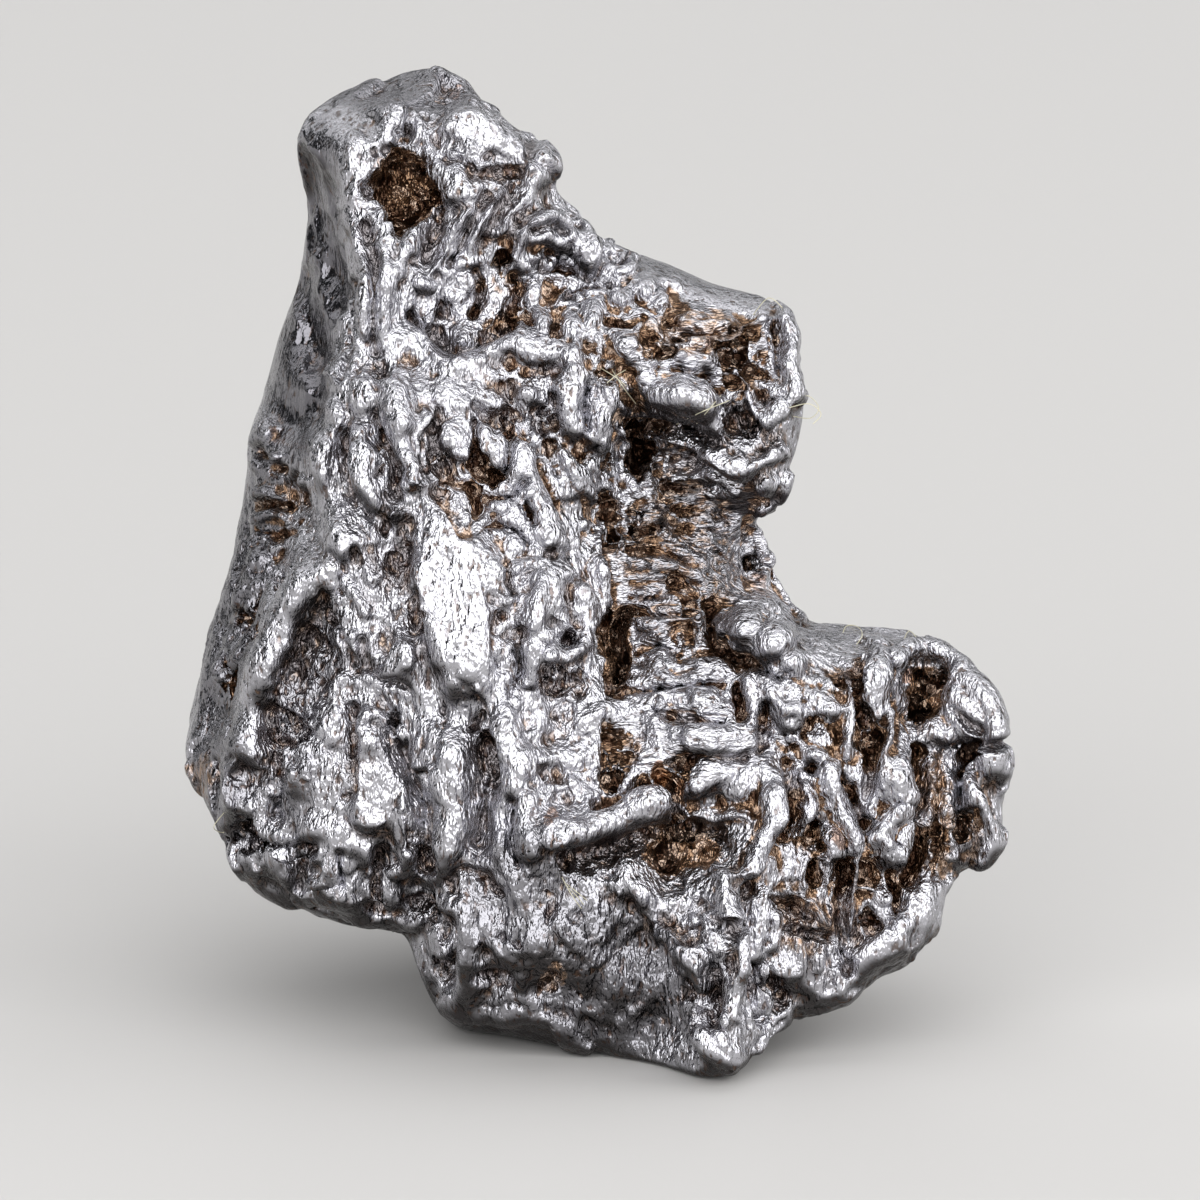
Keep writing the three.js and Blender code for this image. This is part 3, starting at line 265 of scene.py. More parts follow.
rightCentre = {
    "beads": [
        (0.4, 0.42, [(-1.0, 12.9), (-1.2, 12.3), (-1.45, 11.7)]),
        (0.22, 0.3, [(-1.5, 11.5), (-1.45, 10.8), (-1.5, 10.2)]),
        (0.2, 0.42, [(-0.35, 12.5), (-0.2, 12.0), (-0.2, 11.5), (-0.3, 11.1), (-0.7, 10.85), (-1.1, 10.95),
            ]),
        (0.18, 0.3, [(0.2, 13.1), (0.25, 12.6), (0.2, 12.0)]),
        (0.14, 0.22, [(1.2, 11.75), (2.0, 11.72), (2.7, 11.85)]),
        (0.16, 0.2, [(1.0, 13.15), (1.7, 13.25), (2.4, 12.95), (3.0, 12.6)]),
        (0.1, 0.3, [(4.1, 14.0), (4.15, 13.5), (4.5, 13.0), (5.1, 12.2), (5.3, 11.8)]),
        (0.22, 0.36, [(3.95, 10.3), (4.0, 9.5), (3.9, 8.7)]),
        (0.3, 0.38, [(4.45, 10.3), (4.65, 9.8), (4.9, 9.4)]), (0.28, 0.36, [(5.55, 9.85), (5.9, 9.6)]),
        (0.17, 0.36, [(6.3, 10.4), (6.4, 9.5), (6.35, 8.4)]), (0.3, 0.38, [(7.05, 10.7), (7.05, 9.4)]),
        (0.32, 0.32, [(-0.9, 6.35), (0.3, 6.8), (1.5, 7.2)]),
        (0.14, 0.26, [(2.2, 7.05), (3.0, 6.95), (3.8, 6.95)]), (0.32, 0.42, [(4.5, 7.4), (4.55, 6.9)]),
        (0.2, 0.36, [(4.35, 6.6), (4.15, 6.0), (3.8, 5.4)]), (0.32, 0.42, [(3.25, 5.4), (3.42, 4.4)]),
    ],
    "folds": [
        (0.45, 0.26, [(3.7, 7.7), (4.2, 8.1), (4.9, 7.8)]),
        (0.6, 0.28, [(2.1, 8.9), (3.0, 8.85), (3.8, 8.8)]), (0.5, 0.26, [(2.7, 7.8), (3.4, 8.0)]),
        (0.4, 0.28, [(-0.2, 9.3), (0.4, 9.5)]), (0.4, 0.26, [(-1.0, 8.4), (-0.2, 8.4)]),
        (0.4, 0.24, [(1.6, 9.3), (1.75, 8.6)]), (0.35, 0.26, [(-1.4, 9.9), (-1.3, 9.2)]),
        (0.35, 0.22, [(1.2, 8.3), (1.9, 8.4)]), (0.35, 0.22, [(2.3, 9.85), (2.8, 9.75)]),
        (0.3, 0.2, [(-0.5, 7.7), (-0.1, 7.4)]), (0.4, 0.22, [(0.6, 5.3), (1.4, 4.9), (2.1, 4.8)]),
    ],
    "creases": [
        (0.16, 1.1, [(0.8, 11.9), (0.72, 11.4), (0.8, 10.5)]),
        (0.12, 0.26, [(1.0, 13.5), (1.8, 13.45), (2.6, 13.15)]),
        (0.12, 0.3, [(0.9, 12.0), (1.8, 11.95), (2.8, 11.98)]),
        (0.12, 0.3, [(1.0, 10.98), (1.6, 11.2), (2.2, 11.0), (3.2, 11.0), (3.6, 10.6)]),
        (0.12, 0.28, [(0.9, 10.1), (1.6, 10.05), (2.2, 10.2), (3.2, 10.2)]),
        (0.08, 0.14, [(1.2, 14.7), (2.0, 14.6), (2.8, 14.5), (3.4, 14.2)]),
        (0.08, 0.14, [(1.3, 14.2), (2.0, 14.2), (2.7, 14.1), (3.3, 13.9)]),
        (0.08, 0.14, [(1.4, 13.8), (2.2, 13.7), (2.8, 13.65), (3.4, 13.4)]),
        (0.08, 0.12, [(1.1, 12.7), (1.8, 12.75), (2.6, 12.5)]),
        (0.08, 0.12, [(1.0, 12.3), (1.9, 12.35), (2.8, 12.2)]),
        (0.16, 0.5, [(3.0, 12.2), (2.95, 11.4), (3.4, 10.9), (4.0, 10.7), (4.7, 10.3)]),
        (0.1, 0.2, [(2.0, 8.25), (2.8, 8.4), (3.8, 8.35)]),
        (0.14, 0.35, [(1.6, 9.5), (2.2, 9.35), (3.3, 9.35)]), (0.14, 0.26, [(3.65, 10.1), (3.7, 9.4)]),
        (0.14, 0.3, [(4.3, 9.6), (4.3, 9.1), (4.2, 8.5)]),
        (0.24, 0.45, [(-0.6, 5.85), (0.5, 6.1), (1.5, 6.5)]),
        (0.14, 0.35, [(0.1, 7.25), (0.7, 7.45), (1.3, 7.8)]),
        (0.16, 0.55, [(1.7, 8.0), (2.1, 7.6), (2.15, 7.0)]),
        (0.16, 0.35, [(4.0, 5.2), (3.95, 4.2), (3.9, 3.4)]),
        (0.14, 0.35, [(2.8, 4.1), (3.4, 4.05), (3.8, 4.2)]),
    ],
    "domes": [
        (-0.75, 11.9, 0.22, 0.4, 20, 0.3), (3.75, 11.65, 0.5, 0.42, -30, 0.4),
        (4.5, 11.3, 0.5, 0.45, -40, 0.5), (4.95, 10.75, 0.3, 0.32, 0, 0.35), (0.7, 5.1, 0.22, 0.3, 0, 0.14),
        (1.4, 7.2, 0.55, 0.42, 20, 0.4),
    ],
    "pits": [
        (-0.75, 11.35, 0.25, 0.2, 0, 0.42), (0.35, 11.4, 0.3, 0.75, 0, 0.3),
        (3.98, 13.2, 0.12, 0.22, 0, 0.6), (2.6, 6.6, 0.7, 0.26, 0, 0.8), (2.2, 5.9, 0.9, 0.45, 0, 0.36),
        (0.5, 7.8, 0.3, 0.3, -15, 0.22), (0.4, 8.9, 0.4, 0.24, 0, 0.18), (0.75, 8.4, 0.3, 0.16, 0, 0.18),
        (-0.6, 10.2, 0.5, 0.3, 0, 0.36), (5.4, 9.1, 0.4, 0.26, 0, 0.36), (2.4, 4.6, 0.35, 0.25, 0, 0.3),
        (0.6, 10.2, 0.3, 0.3, 0, 0.22),
    ],
}
foot = {
    "beads": [
        (0.26, 0.36, [(1.8, 4.1), (2.3, 3.6), (2.7, 3.0), (2.8, 2.7)]),
        (0.24, 0.38, [(3.6, 4.1), (3.65, 3.3), (3.45, 2.5), (3.3, 1.9)]),
        (0.18, 0.3, [(2.45, 2.3), (2.6, 1.7), (3.0, 1.2), (3.4, 0.85)]),
        (0.18, 0.26, [(4.9, 2.2), (4.5, 1.6), (4.15, 1.1)]),
    ],
    "folds": [
        (0.4, 0.26, [(3.2, 1.4), (3.4, 0.9)]), (0.45, 0.24, [(4.9, 3.0), (5.6, 2.5), (6.2, 2.6)]),
    ],
    "creases": [
        (0.2, 0.4, [(2.95, 3.8), (3.0, 3.0), (3.0, 2.3)]),
        (0.18, 0.4, [(4.1, 3.2), (4.1, 2.4), (4.2, 1.9)]),
    ],
    "pits": [
        (2.85, 2.0, 0.2, 0.45, -20, 0.4), (4.5, 2.8, 0.2, 0.55, 15, 0.45), (3.4, 0.85, 0.1, 0.12, 0, 0.2),
    ],
}
rightLobe = {
    "beads": [
        (0.2, 0.42, [(5.9, 8.2), (5.95, 7.6), (6.3, 6.9), (6.6, 6.3), (6.5, 5.6), (6.42, 4.9), (6.42, 4.1),
            ]),
        (0.15, 0.34, [(5.0, 8.9), (5.4, 8.5), (5.75, 8.4)]),
        (0.24, 0.38, [(7.6, 7.0), (7.2, 6.5), (7.3, 6.0)]),
        (0.16, 0.3, [(5.0, 5.0), (5.4, 4.8), (5.8, 4.3)]), (0.14, 0.26, [(5.3, 5.9), (5.3, 5.2)]),
        (0.14, 0.26, [(5.8, 6.0), (5.8, 5.3)]),
        (0.22, 0.44, [(7.5, 10.75), (8.0, 11.0), (8.5, 10.95), (9.0, 10.6), (9.5, 10.2), (9.9, 9.6),
            (10.05, 9.0)]),
        (0.34, 0.4, [(9.95, 8.5), (10.0, 8.0)]),
        (0.2, 0.42, [(9.5, 7.75), (9.75, 7.0), (9.95, 6.3), (9.7, 5.7)]),
        (0.45, 0.3, [(8.4, 5.1), (8.1, 4.4), (7.6, 3.7), (6.8, 3.2), (6.3, 2.7)]),
        (0.14, 0.28, [(6.6, 5.2), (7.0, 5.1), (7.3, 4.8)]),
        (0.16, 0.3, [(7.4, 9.4), (7.35, 8.8), (7.3, 8.2)]),
        (0.14, 0.26, [(5.2, 3.9), (5.2, 3.4), (5.1, 3.0)]), (0.14, 0.26, [(5.7, 3.7), (5.6, 3.2)]),
        (0.14, 0.26, [(4.5, 4.4), (4.55, 3.7)]), (0.2, 0.34, [(6.1, 6.4), (5.9, 5.9)]),
        (0.16, 0.3, [(5.2, 7.6), (5.3, 7.0), (5.1, 6.5)]),
    ],
    "folds": [
        (0.5, 0.34, [(7.5, 8.0), (7.75, 7.4)]), (0.55, 0.32, [(9.2, 9.9), (9.4, 9.2)]),
        (0.4, 0.3, [(8.5, 9.05), (8.8, 8.9)]), (0.3, 0.22, [(6.9, 7.7), (6.85, 7.1)]),
        (0.35, 0.2, [(5.0, 6.0), (5.0, 5.5)]),
    ],
    "creases": [
        (0.12, 0.36, [(6.2, 5.8), (6.2, 5.0), (6.25, 4.0), (6.3, 3.1)]),
        (0.16, 0.6, [(8.15, 8.45), (8.1, 7.0), (8.0, 6.0), (7.9, 5.3)]),
        (0.08, 0.25, [(8.64, 8.1), (8.62, 7.0), (8.6, 6.0), (8.45, 5.3)]),
        (0.16, 0.6, [(9.2, 8.0), (9.2, 7.2), (9.25, 6.4)]),
        (0.12, 0.35, [(9.1, 9.6), (9.4, 9.2), (9.7, 9.05)]),
        (0.12, 0.4, [(9.5, 8.75), (10.0, 8.75), (10.4, 8.8)]),
        (0.16, 0.3, [(6.95, 8.9), (6.95, 8.1), (6.8, 7.4)]),
        (0.14, 0.35, [(7.5, 5.4), (7.6, 4.8), (7.5, 4.4)]),
        (0.12, 0.35, [(4.4, 4.9), (4.9, 4.65), (5.4, 4.4)]),
        (0.12, 0.3, [(4.8, 4.1), (5.5, 4.0), (6.1, 3.8)]),
        (0.2, 0.4, [(4.85, 8.2), (5.0, 7.4), (4.9, 6.5)]),
        (0.16, 0.4, [(6.2, 7.9), (6.6, 7.3), (6.9, 6.6)]),
    ],
    "pits": [
        (8.35, 10.35, 0.36, 0.3, 0, 0.8), (8.15, 9.6, 0.22, 0.4, 0, 0.8), (9.3, 8.35, 0.2, 0.45, -10, 0.9),
        (6.95, 4.35, 0.3, 0.34, 0, 0.36), (5.45, 8.05, 0.24, 0.2, 0, 0.4), (5.5, 6.7, 0.34, 0.26, 0, 0.4),
        (6.75, 9.3, 0.18, 0.3, 0, 0.35), (5.6, 5.6, 0.12, 0.3, 0, 0.3), (9.0, 8.7, 0.25, 0.14, -20, 0.5),
    ],
}
fist = {
    "beads": [
        (0.12, 0.22, [(2.2, 19.2), (2.8, 19.1), (3.4, 19.2)]),
        (0.14, 0.32, [(2.0, 18.6), (2.6, 18.6), (3.2, 18.8), (3.8, 19.1), (4.2, 19.3)]),
        (0.12, 0.24, [(2.1, 18.35), (2.7, 18.3), (3.0, 18.1)]),
        (0.2, 0.26, [(1.15, 18.4), (1.25, 18.0), (1.5, 17.5)]),
        (0.38, 0.42, [(1.8, 17.4), (2.3, 17.4), (2.8, 17.1), (3.1, 16.7)]),
        (0.16, 0.14, [(2.55, 17.4), (2.85, 17.0), (3.1, 16.6)]),
        (0.22, 0.34, [(4.75, 19.4), (4.85, 18.9), (4.9, 18.0), (5.05, 17.4)]),
        (0.16, 0.3, [(3.9, 17.4), (4.1, 17.0), (4.4, 16.8), (4.7, 17.05)]),
        (0.22, 0.38, [(3.0, 16.0), (3.5, 15.6), (3.8, 15.55), (4.2, 15.8), (4.7, 16.05)]),
        (0.12, 0.26, [(4.9, 15.4), (4.8, 14.8), (4.7, 14.5)]), (0.1, 0.22, [(4.05, 14.45), (4.5, 14.6)]),
        (0.3, 0.36, [(-0.5, 18.4), (-0.35, 17.8), (-0.6, 17.2), (-0.45, 16.6)]),
        (0.22, 0.36, [(0.45, 17.5), (0.25, 16.9), (0.1, 16.2)]),
        (0.12, 0.34, [(1.45, 15.65), (1.35, 15.2)]), (0.12, 0.3, [(1.1, 14.2), (1.6, 14.25), (1.95, 14.6)]),
        (0.1, 0.2, [(2.0, 15.35), (2.7, 15.42), (3.2, 15.3)]),
        (0.1, 0.2, [(1.6, 16.3), (2.4, 16.15), (3.0, 16.0)]),
        (0.14, 0.24, [(-0.7, 15.9), (-0.3, 15.2), (0.0, 14.8)]),
        (0.14, 0.24, [(1.45, 19.2), (1.75, 18.75)]), (0.12, 0.22, [(3.9, 18.7), (3.9, 18.2)]),
        (0.12, 0.22, [(3.2, 17.9), (3.6, 17.85), (3.9, 17.6)]),
    ],
    "creases": [
        (0.12, 0.36, [(0.9, 16.7), (1.5, 16.6), (2.2, 16.45), (3.0, 16.35)]),
        (0.1, 0.3, [(1.9, 15.15), (2.6, 15.1), (3.3, 15.0)]),
        (0.12, 0.35, [(1.0, 14.05), (1.6, 14.08), (2.0, 14.25)]),
        (0.12, 0.4, [(-0.05, 17.6), (-0.1, 16.6)]), (0.16, 0.4, [(-0.9, 17.3), (-0.95, 16.6)]),
        (0.12, 0.32, [(2.1, 18.95), (2.8, 18.85), (3.5, 19.0)]),
        (0.12, 0.32, [(2.0, 18.0), (2.8, 17.9), (3.1, 17.5)]),
        (0.12, 0.3, [(4.55, 19.2), (4.6, 18.4), (4.7, 17.7)]),
        (0.12, 0.3, [(3.4, 18.3), (4.0, 18.0), (4.5, 17.8)]),
        (0.12, 0.3, [(0.4, 19.2), (0.9, 19.15), (1.3, 19.3)]),
    ],
    "domes": [
        (0.7, 19.7, 0.26, 0.22, 0, 0.32), (0.1, 19.4, 0.25, 0.3, -20, 0.32),
        (1.75, 19.7, 0.2, 0.3, 20, 0.3), (1.4, 20.1, 0.18, 0.2, 0, 0.22), (1.2, 19.05, 0.2, 0.18, 0, 0.24),
        (0.9, 18.6, 0.5, 0.42, -15, 0.3), (4.65, 16.9, 0.2, 0.3, -30, 0.28),
        (3.2, 16.1, 0.22, 0.16, 0, 0.24), (3.7, 15.7, 0.25, 0.2, 0, 0.2), (-0.6, 18.2, 0.32, 0.26, 0, 0.22),
        (0.7, 16.5, 0.13, 0.26, 0, 0.28), (1.5, 14.5, 0.42, 0.26, 15, 0.3),
        (-0.3, 15.3, 0.24, 0.36, 0, 0.24), (-0.2, 14.2, 0.2, 0.2, 0, 0.22),
        (0.7, 13.8, 0.16, 0.26, 0, 0.24), (2.5, 18.0, 0.16, 0.14, 0, 0.2),
        (1.75, 16.05, 0.16, 0.14, 0, 0.2), (4.4, 15.1, 0.3, 0.3, 0, 0.16),
        (2.0, 20.15, 0.3, 0.16, -15, 0.16), (3.0, 18.45, 0.25, 0.16, -20, 0.2),
        (1.65, 18.65, 0.2, 0.16, 20, 0.3), (1.5, 18.3, 0.16, 0.2, 0, 0.26),
        (3.5, 18.45, 0.26, 0.14, 30, 0.32), (3.6, 18.05, 0.22, 0.14, -10, 0.3),
        (3.5, 17.45, 0.3, 0.14, 15, 0.3), (3.65, 17.0, 0.2, 0.15, -20, 0.28),
        (0.45, 18.1, 0.2, 0.16, 10, 0.26), (0.9, 17.6, 0.24, 0.16, -30, 0.26),
        (0.8, 17.1, 0.2, 0.14, 0, 0.26), (2.6, 19.35, 0.3, 0.1, 10, 0.24), (4.2, 18.7, 0.14, 0.24, 0, 0.26),
    ],
    "pits": [
        (1.25, 16.0, 0.3, 0.68, -5, 1.6), (2.2, 16.42, 0.2, 0.09, 0, 0.4), (1.4, 19.6, 0.32, 0.2, 0, 0.3),
        (4.4, 18.5, 0.3, 0.6, 0, 0.2), (3.6, 16.8, 0.46, 0.36, 0, 0.36), (0.45, 14.5, 0.3, 0.52, 15, 0.5),
        (0.0, 18.6, 0.2, 0.3, 0, 0.4), (4.3, 17.3, 0.2, 0.16, 0, 0.3), (2.4, 15.65, 0.6, 0.25, 0, 0.16),
        (0.4, 15.6, 0.14, 0.4, 10, 0.4), (2.3, 18.8, 0.2, 0.1, 0, 0.25), (-0.2, 16.0, 0.2, 0.16, 0, 0.3),
        (0.3, 18.0, 0.2, 0.3, 0, 0.25),
    ],
}
regions = [head, neck, leftSide, trunk, leftLobe, middleFront, rightCentre, foot, rightLobe, fist]

# Two columns of small rungs on the right lobe: column x, lowest v, highest v and half sizes.
rungs = {
    "columns": [(8.42, 5.55, 8.25, 0.17, 0.15), (8.86, 5.9, 8.05, 0.22, 0.16)],
    "step": 0.38,
    "rise": 0.24,
}
ladder = {"domes": []}
for columnX, lowest, highest, halfWide, halfTall in rungs["columns"]:
    for rung in np.arange(lowest, highest, rungs["step"]):
        ladder["domes"].append((columnX, float(rung), halfWide, halfTall, 0, rungs["rise"]))
regions.append(ladder)


def smoothStep(low, high, value):
    share = np.clip((value - low) / (high - low), 0, 1)
    return share * share * (3 - 2 * share)


# How each kind of mark stands up, by the share of the way from its middle to its edge.
profiles = {
    "beads": lambda share: (1 - share ** 2.5) ** 1.6,
    "folds": lambda share: (1 - share ** 2) ** 2,
    "scoops": lambda share: -((1 - share ** 2) ** 2),
    "creases": lambda share: -((1 - share) ** 1.3),
    "domes": lambda share: (1 - share ** 2.5) ** 1.4,
    "pits": lambda share: -((1 - share ** 3) ** 1.1),
}


def smoothRun(places, steps=4):
    # A curve through the places, as close points.
    ends = [places[0], *places, places[-1]]
    run = []
    for before, start, end, after in zip(ends, ends[1:], ends[2:], ends[3:]):
        before, start, end, after = (np.array(place) for place in (before, start, end, after))
        for share in np.arange(steps) / steps:
            bend = 2 * before - 5 * start + 4 * end - after
            twist = 3 * (start - end) + after - before
            run.append(start + 0.5 * share * (end - before + share * (bend + share * twist)))
    run.append(np.array(places[-1]))
    return np.array(run)


def strokeShare(x, v, half, places):
    nearest = np.full(len(x), np.inf)
    run = smoothRun(places)
    for start, end in zip(run, run[1:]):
        along = end - start
        share = ((x - start[0]) * along[0] + (v - start[1]) * along[1]) / max(along @ along, 1e-9)
        share = np.clip(share, 0, 1)
        apart = np.hypot(x - start[0] - share * along[0], v - start[1] - share * along[1])
        nearest = np.minimum(nearest, apart)
    return nearest / half


def spotShare(x, v, spot):
    atX, atV, halfWide, halfTall, turn = spot
    angle = math.radians(turn)
    across = (x - atX) * math.cos(angle) + (v - atV) * math.sin(angle)
    upright = (v - atV) * math.cos(angle) - (x - atX) * math.sin(angle)
    return np.hypot(across / halfWide, upright / halfTall)


def reliefAt(steady, loose, uneven):
    # How far the marks raise the metal towards the viewer, in millimetres, and how far each place is
    # into a raised mark. Pits are drawn at the loose places, whose edges follow irregular cells.
    raised, sunk, cut, smooth = np.zeros((4, len(steady[0])))
    for region in regions:
        for kind, marks in region.items():
            proud = kind in ("beads", "folds", "domes")
            x, v = loose if kind == "pits" else steady
            for mark in marks:
                if kind in ("domes", "pits"):
                    *spot, rise = mark
                    spot[2] *= stone["widen"][kind]
                    spot[3] *= stone["widen"][kind]
                    reach = max(spot[2], spot[3])
                    near = np.flatnonzero((abs(x - spot[0]) < reach) & (abs(v - spot[1]) < reach))
                    share = spotShare(x[near], v[near], spot)
                else:
                    half, rise, places = mark
                    half *= stone["widen"][kind]
                    low, high = np.min(places, axis=0) - half, np.max(places, axis=0) + half
                    inside = (x > low[0]) & (x < high[0]) & (v > low[1]) & (v < high[1])
                    near = np.flatnonzero(inside)
                    share = strokeShare(x[near], v[near], half, places)
                share = share * uneven[near]
                touched = near[share < 1]
                share = share[share < 1]
                height = stone["heights"][kind] * rise * profiles[kind](share)
                if proud:
                    raised[touched] = np.maximum(raised[touched], height)
                    smooth[touched] = np.maximum(smooth[touched], 1 - share)
                elif kind == "pits":
                    sunk[touched] = np.minimum(sunk[touched], height)
                else:
                    cut[touched] = np.minimum(cut[touched], height)
    return raised + sunk + cut, smooth


def noiseField(places, size, shift):
    # Soft noise at every place, about -1 to 1, with lumps of the given size.
    moved = (places / size + shift).tolist()
    return np.array([noise.noise(place) for place in moved])


def cellMiddles(places, size, shift):
    # The middle of the cell that each place lies in, for irregular cells of the given size.
    moved = (places / size + shift).tolist()
    return (np.array([noise.voronoi(place)[1][0] for place in moved]) - shift) * size


def facetField(places, size, shift):
    # Flat facets, each with a tilt of its own: the height at every place.
    middles = cellMiddles(places, size, shift)
    tilts = np.array([noise.cell_vector(middle) for middle in (middles / size + shift).tolist()]) - 0.5
    return np.sum((places - middles) * tilts, axis=1)


class MetalSurface:
    # The points of a mesh, in millimetres, with what is worked out on them.
    def __init__(self, mesh):
        self.mesh = mesh
        count = len(mesh.vertices)
        places = np.empty(count * 3)
        mesh.vertices.foreach_get("co", places)
        self.places = places.reshape(-1, 3) / millimetre
        edges = np.empty(len(mesh.edges) * 2, int)
        mesh.edges.foreach_get("vertices", edges)
        self.edges = edges.reshape(-1, 2)
        self.valence = np.bincount(edges, minlength=count)

    def store(self):
        self.mesh.vertices.foreach_set("co", (self.places * millimetre).ravel())
        self.mesh.update()

    def normals(self):
        self.store()
        directions = np.empty(len(self.places) * 3)
        self.mesh.vertex_normals.foreach_get("vector", directions)
        return directions.reshape(-1, 3)

    def averaged(self, values, passes):
        # Values eased towards those of the neighbours.
        first, second = self.edges.T
        count = len(self.places)
        for _ in range(passes):
            total = np.bincount(first, values[second], count) + np.bincount(second, values[first], count)
            values = 0.5 * values + 0.5 * total / self.valence
        return values

    def hollowness(self, passes):
        # How far each point lies under its surroundings, in millimetres.
        eased = np.stack([self.averaged(self.places[:, axis], passes) for axis in range(3)], axis=1)
        return np.sum((eased - self.places) * self.normals(), axis=1)

    def attribute(self, name, values):
        layer = self.mesh.attributes.new(name, "FLOAT", "POINT")
        layer.data.foreach_set("value", values.astype(np.float32))


stone = {
    "mergeWithin": 0.001,  # millimetres
    "seenEdge": 0.105,  # longest edge on the side that shows most
    "hiddenEdge": 0.24,  # and elsewhere
    "seenFacing": 0.05,
    "easePasses": (2, 2, 1, 1),  # smoothing after each round of splitting
    "heights": {"beads": 1.15, "domes": 1.1, "folds": 0.95, "scoops": 1.0, "creases": 1.4, "pits": 1.2},
    "widen": {"beads": 1.4, "domes": 1.3, "folds": 1.25, "scoops": 1.0, "creases": 1.35, "pits": 1.0},
    "facing": (-0.05, 0.25),  # how squarely a place faces the viewer before it takes the marks
    "seen": (0.1, 0.5),  # and before it is crumpled in full
    "hidden": (-0.15, 0.1),  # how little it faces the viewer before it has the plainer skin
    "facets": [(1.5, 0.5, 3.1, 0.5), (0.7, 0.4, 5.9, 0.3)],  # size, tilt, shift and share behind
    "stretch": 0.6,  # how much the facets are drawn out up the sheet
    "cells": (0.4, 0.6),  # size of the cells that the pits' edges follow, and how closely
    "wrinkles": [(0.45, 0.06, 0.08, 1.3, 0.3)],  # size, depth, width, shift and share behind
    "wrinkleSharpness": 1.5,
    "thumbprints": [(3.2, 0.6, 7.7), (1.7, 0.25, 4.1)],  # size, depth and shift, on the plainer skin
    "thumbprintEdge": (-0.1, 0.5),
    "crumpleEase": 2,  # passes
    "waver": [(0.9, 0.12), (0.4, 0.04)],  # size and reach of the marks' unsteadiness
    "uneven": [(0.6, 0.5), (0.25, 0.2)],  # size and share of the change in the marks' widths
    "shifts": {"x": 11.3, "v": 23.9, "cells": 2.7, "uneven": 17.1, "skin": 31.7},  # keep noises apart
    "markCalm": (0.4, 0.0, 0.5),  # how much of the crumpling a raised mark loses, and its edge
    "markSatin": (0.25, 0.2, 0.7),  # the same for the fine streaks
    "markClean": (0.8, 0.1, 0.5),  # and for the rust
    "footCalm": (0.1, 1.0),  # heights over which the crumpling fades in
    "fades": {"calm": (0.6, 1.2), "flat": (0.6, 1.15), "patch": (0.7, 1.15), "zone": (0.5, 1.2)},
    "hiddenSkin": (0.75, 2.4, -0.7, 0.3),  # share, size and edge of the dull skin behind
    "hiddenSatin": 0.6,
    "hollowPasses": 12,  # how wide the hollows are that are looked for
    "deepPasses": 60,
    "deepShare": 0.6,  # how much the wide ones count
    "stain": (0.0, 0.12),  # depths over which rust gathers
    "hollowShade": (0.01, 0.09),  # and the painted shade
    "underShade": (6, 0.05, 0.45),  # passes, and how far down a place looks before it takes the painted shade of the undersides
}


def longEdges(shape):
    # The edges to split: those that are too long for where they lie.
    shape.normal_update()
    toViewer = Vector(outOfSheet)
    chosen = []
    for edge in shape.edges:
        seen = max(vertex.normal.dot(toViewer) for vertex in edge.verts) > stone["seenFacing"]
        longest = stone["seenEdge"] if seen else stone["hiddenEdge"]
        if edge.calc_length() > longest * millimetre:
            chosen.append(edge)
    return chosen


def nodeCopy(nodeName, pieceName):
    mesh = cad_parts[nodeName].data.copy()
    mesh.name = pieceName
    mesh.materials.clear()
    shape = bmesh.new()
    shape.from_mesh(mesh)
    bmesh.ops.remove_doubles(shape, verts=shape.verts, dist=stone["mergeWithin"] * millimetre)
    for passes in stone["easePasses"]:
        bmesh.ops.subdivide_edges(shape, edges=longEdges(shape), cuts=1)
        bmesh.ops.triangulate(shape, faces=shape.faces[:])
        for _ in range(passes):
            bmesh.ops.smooth_vert(
                shape, verts=shape.verts, factor=0.5, use_axis_x=True, use_axis_y=True, use_axis_z=True)
    for face in shape.faces:
        face.smooth = True
    shape.to_mesh(mesh)
    shape.free()
    mesh.update()
    piece = bpy.data.objects.new(pieceName, mesh)
    scene.collection.objects.link(piece)
    return piece


# The patches below are x, v, half width, half height and turn in degrees, and then what each list says.
# Where the metal is smoother: how much of the crumpling it loses.
calmPatches = [
    (-3.4, 12.2, 1.1, 2.4, 12, 0.85), (-7.0, 20.5, 1.2, 4.0, -5, 0.95), (-7.6, 17.0, 1.0, 2.2, -10, 0.8),
    (-6.0, 24.2, 1.2, 0.8, 10, 0.85), (-8.0, 10.8, 0.7, 2.6, -14, 0.7), (4.6, 11.1, 0.8, 0.8, 0, 0.8),
    (0.4, 6.75, 1.5, 0.6, 15, 0.7), (2.3, 17.3, 0.8, 0.5, -15, 0.7), (2.6, 20.2, 2.4, 0.5, -18, 0.8),
    (3.9, 3.6, 0.4, 1.4, 0, 0.7), (1.0, 2.4, 1.4, 1.6, 0, 0.5), (9.9, 9.4, 0.6, 1.4, 0, 0.5),
    (-6.2, 7.2, 1.6, 2.0, 0, 0.5), (-2.2, 5.2, 1.5, 3.0, 0, 0.4), (-6.0, 16.0, 1.0, 2.2, 10, 0.5),
]

# Where it is flat: how the facet slopes to the right and upwards.
flatPatches = [
    (-3.4, 12.5, 1.05, 2.5, 12, 0.05, -0.08), (-5.4, 7.6, 0.75, 1.2, 10, 0.05, 0.1),
    (-8.65, 7.6, 0.45, 0.75, 0, 0.1, -0.05), (-2.9, 23.9, 0.8, 0.45, -25, 0.0, -0.1),
]
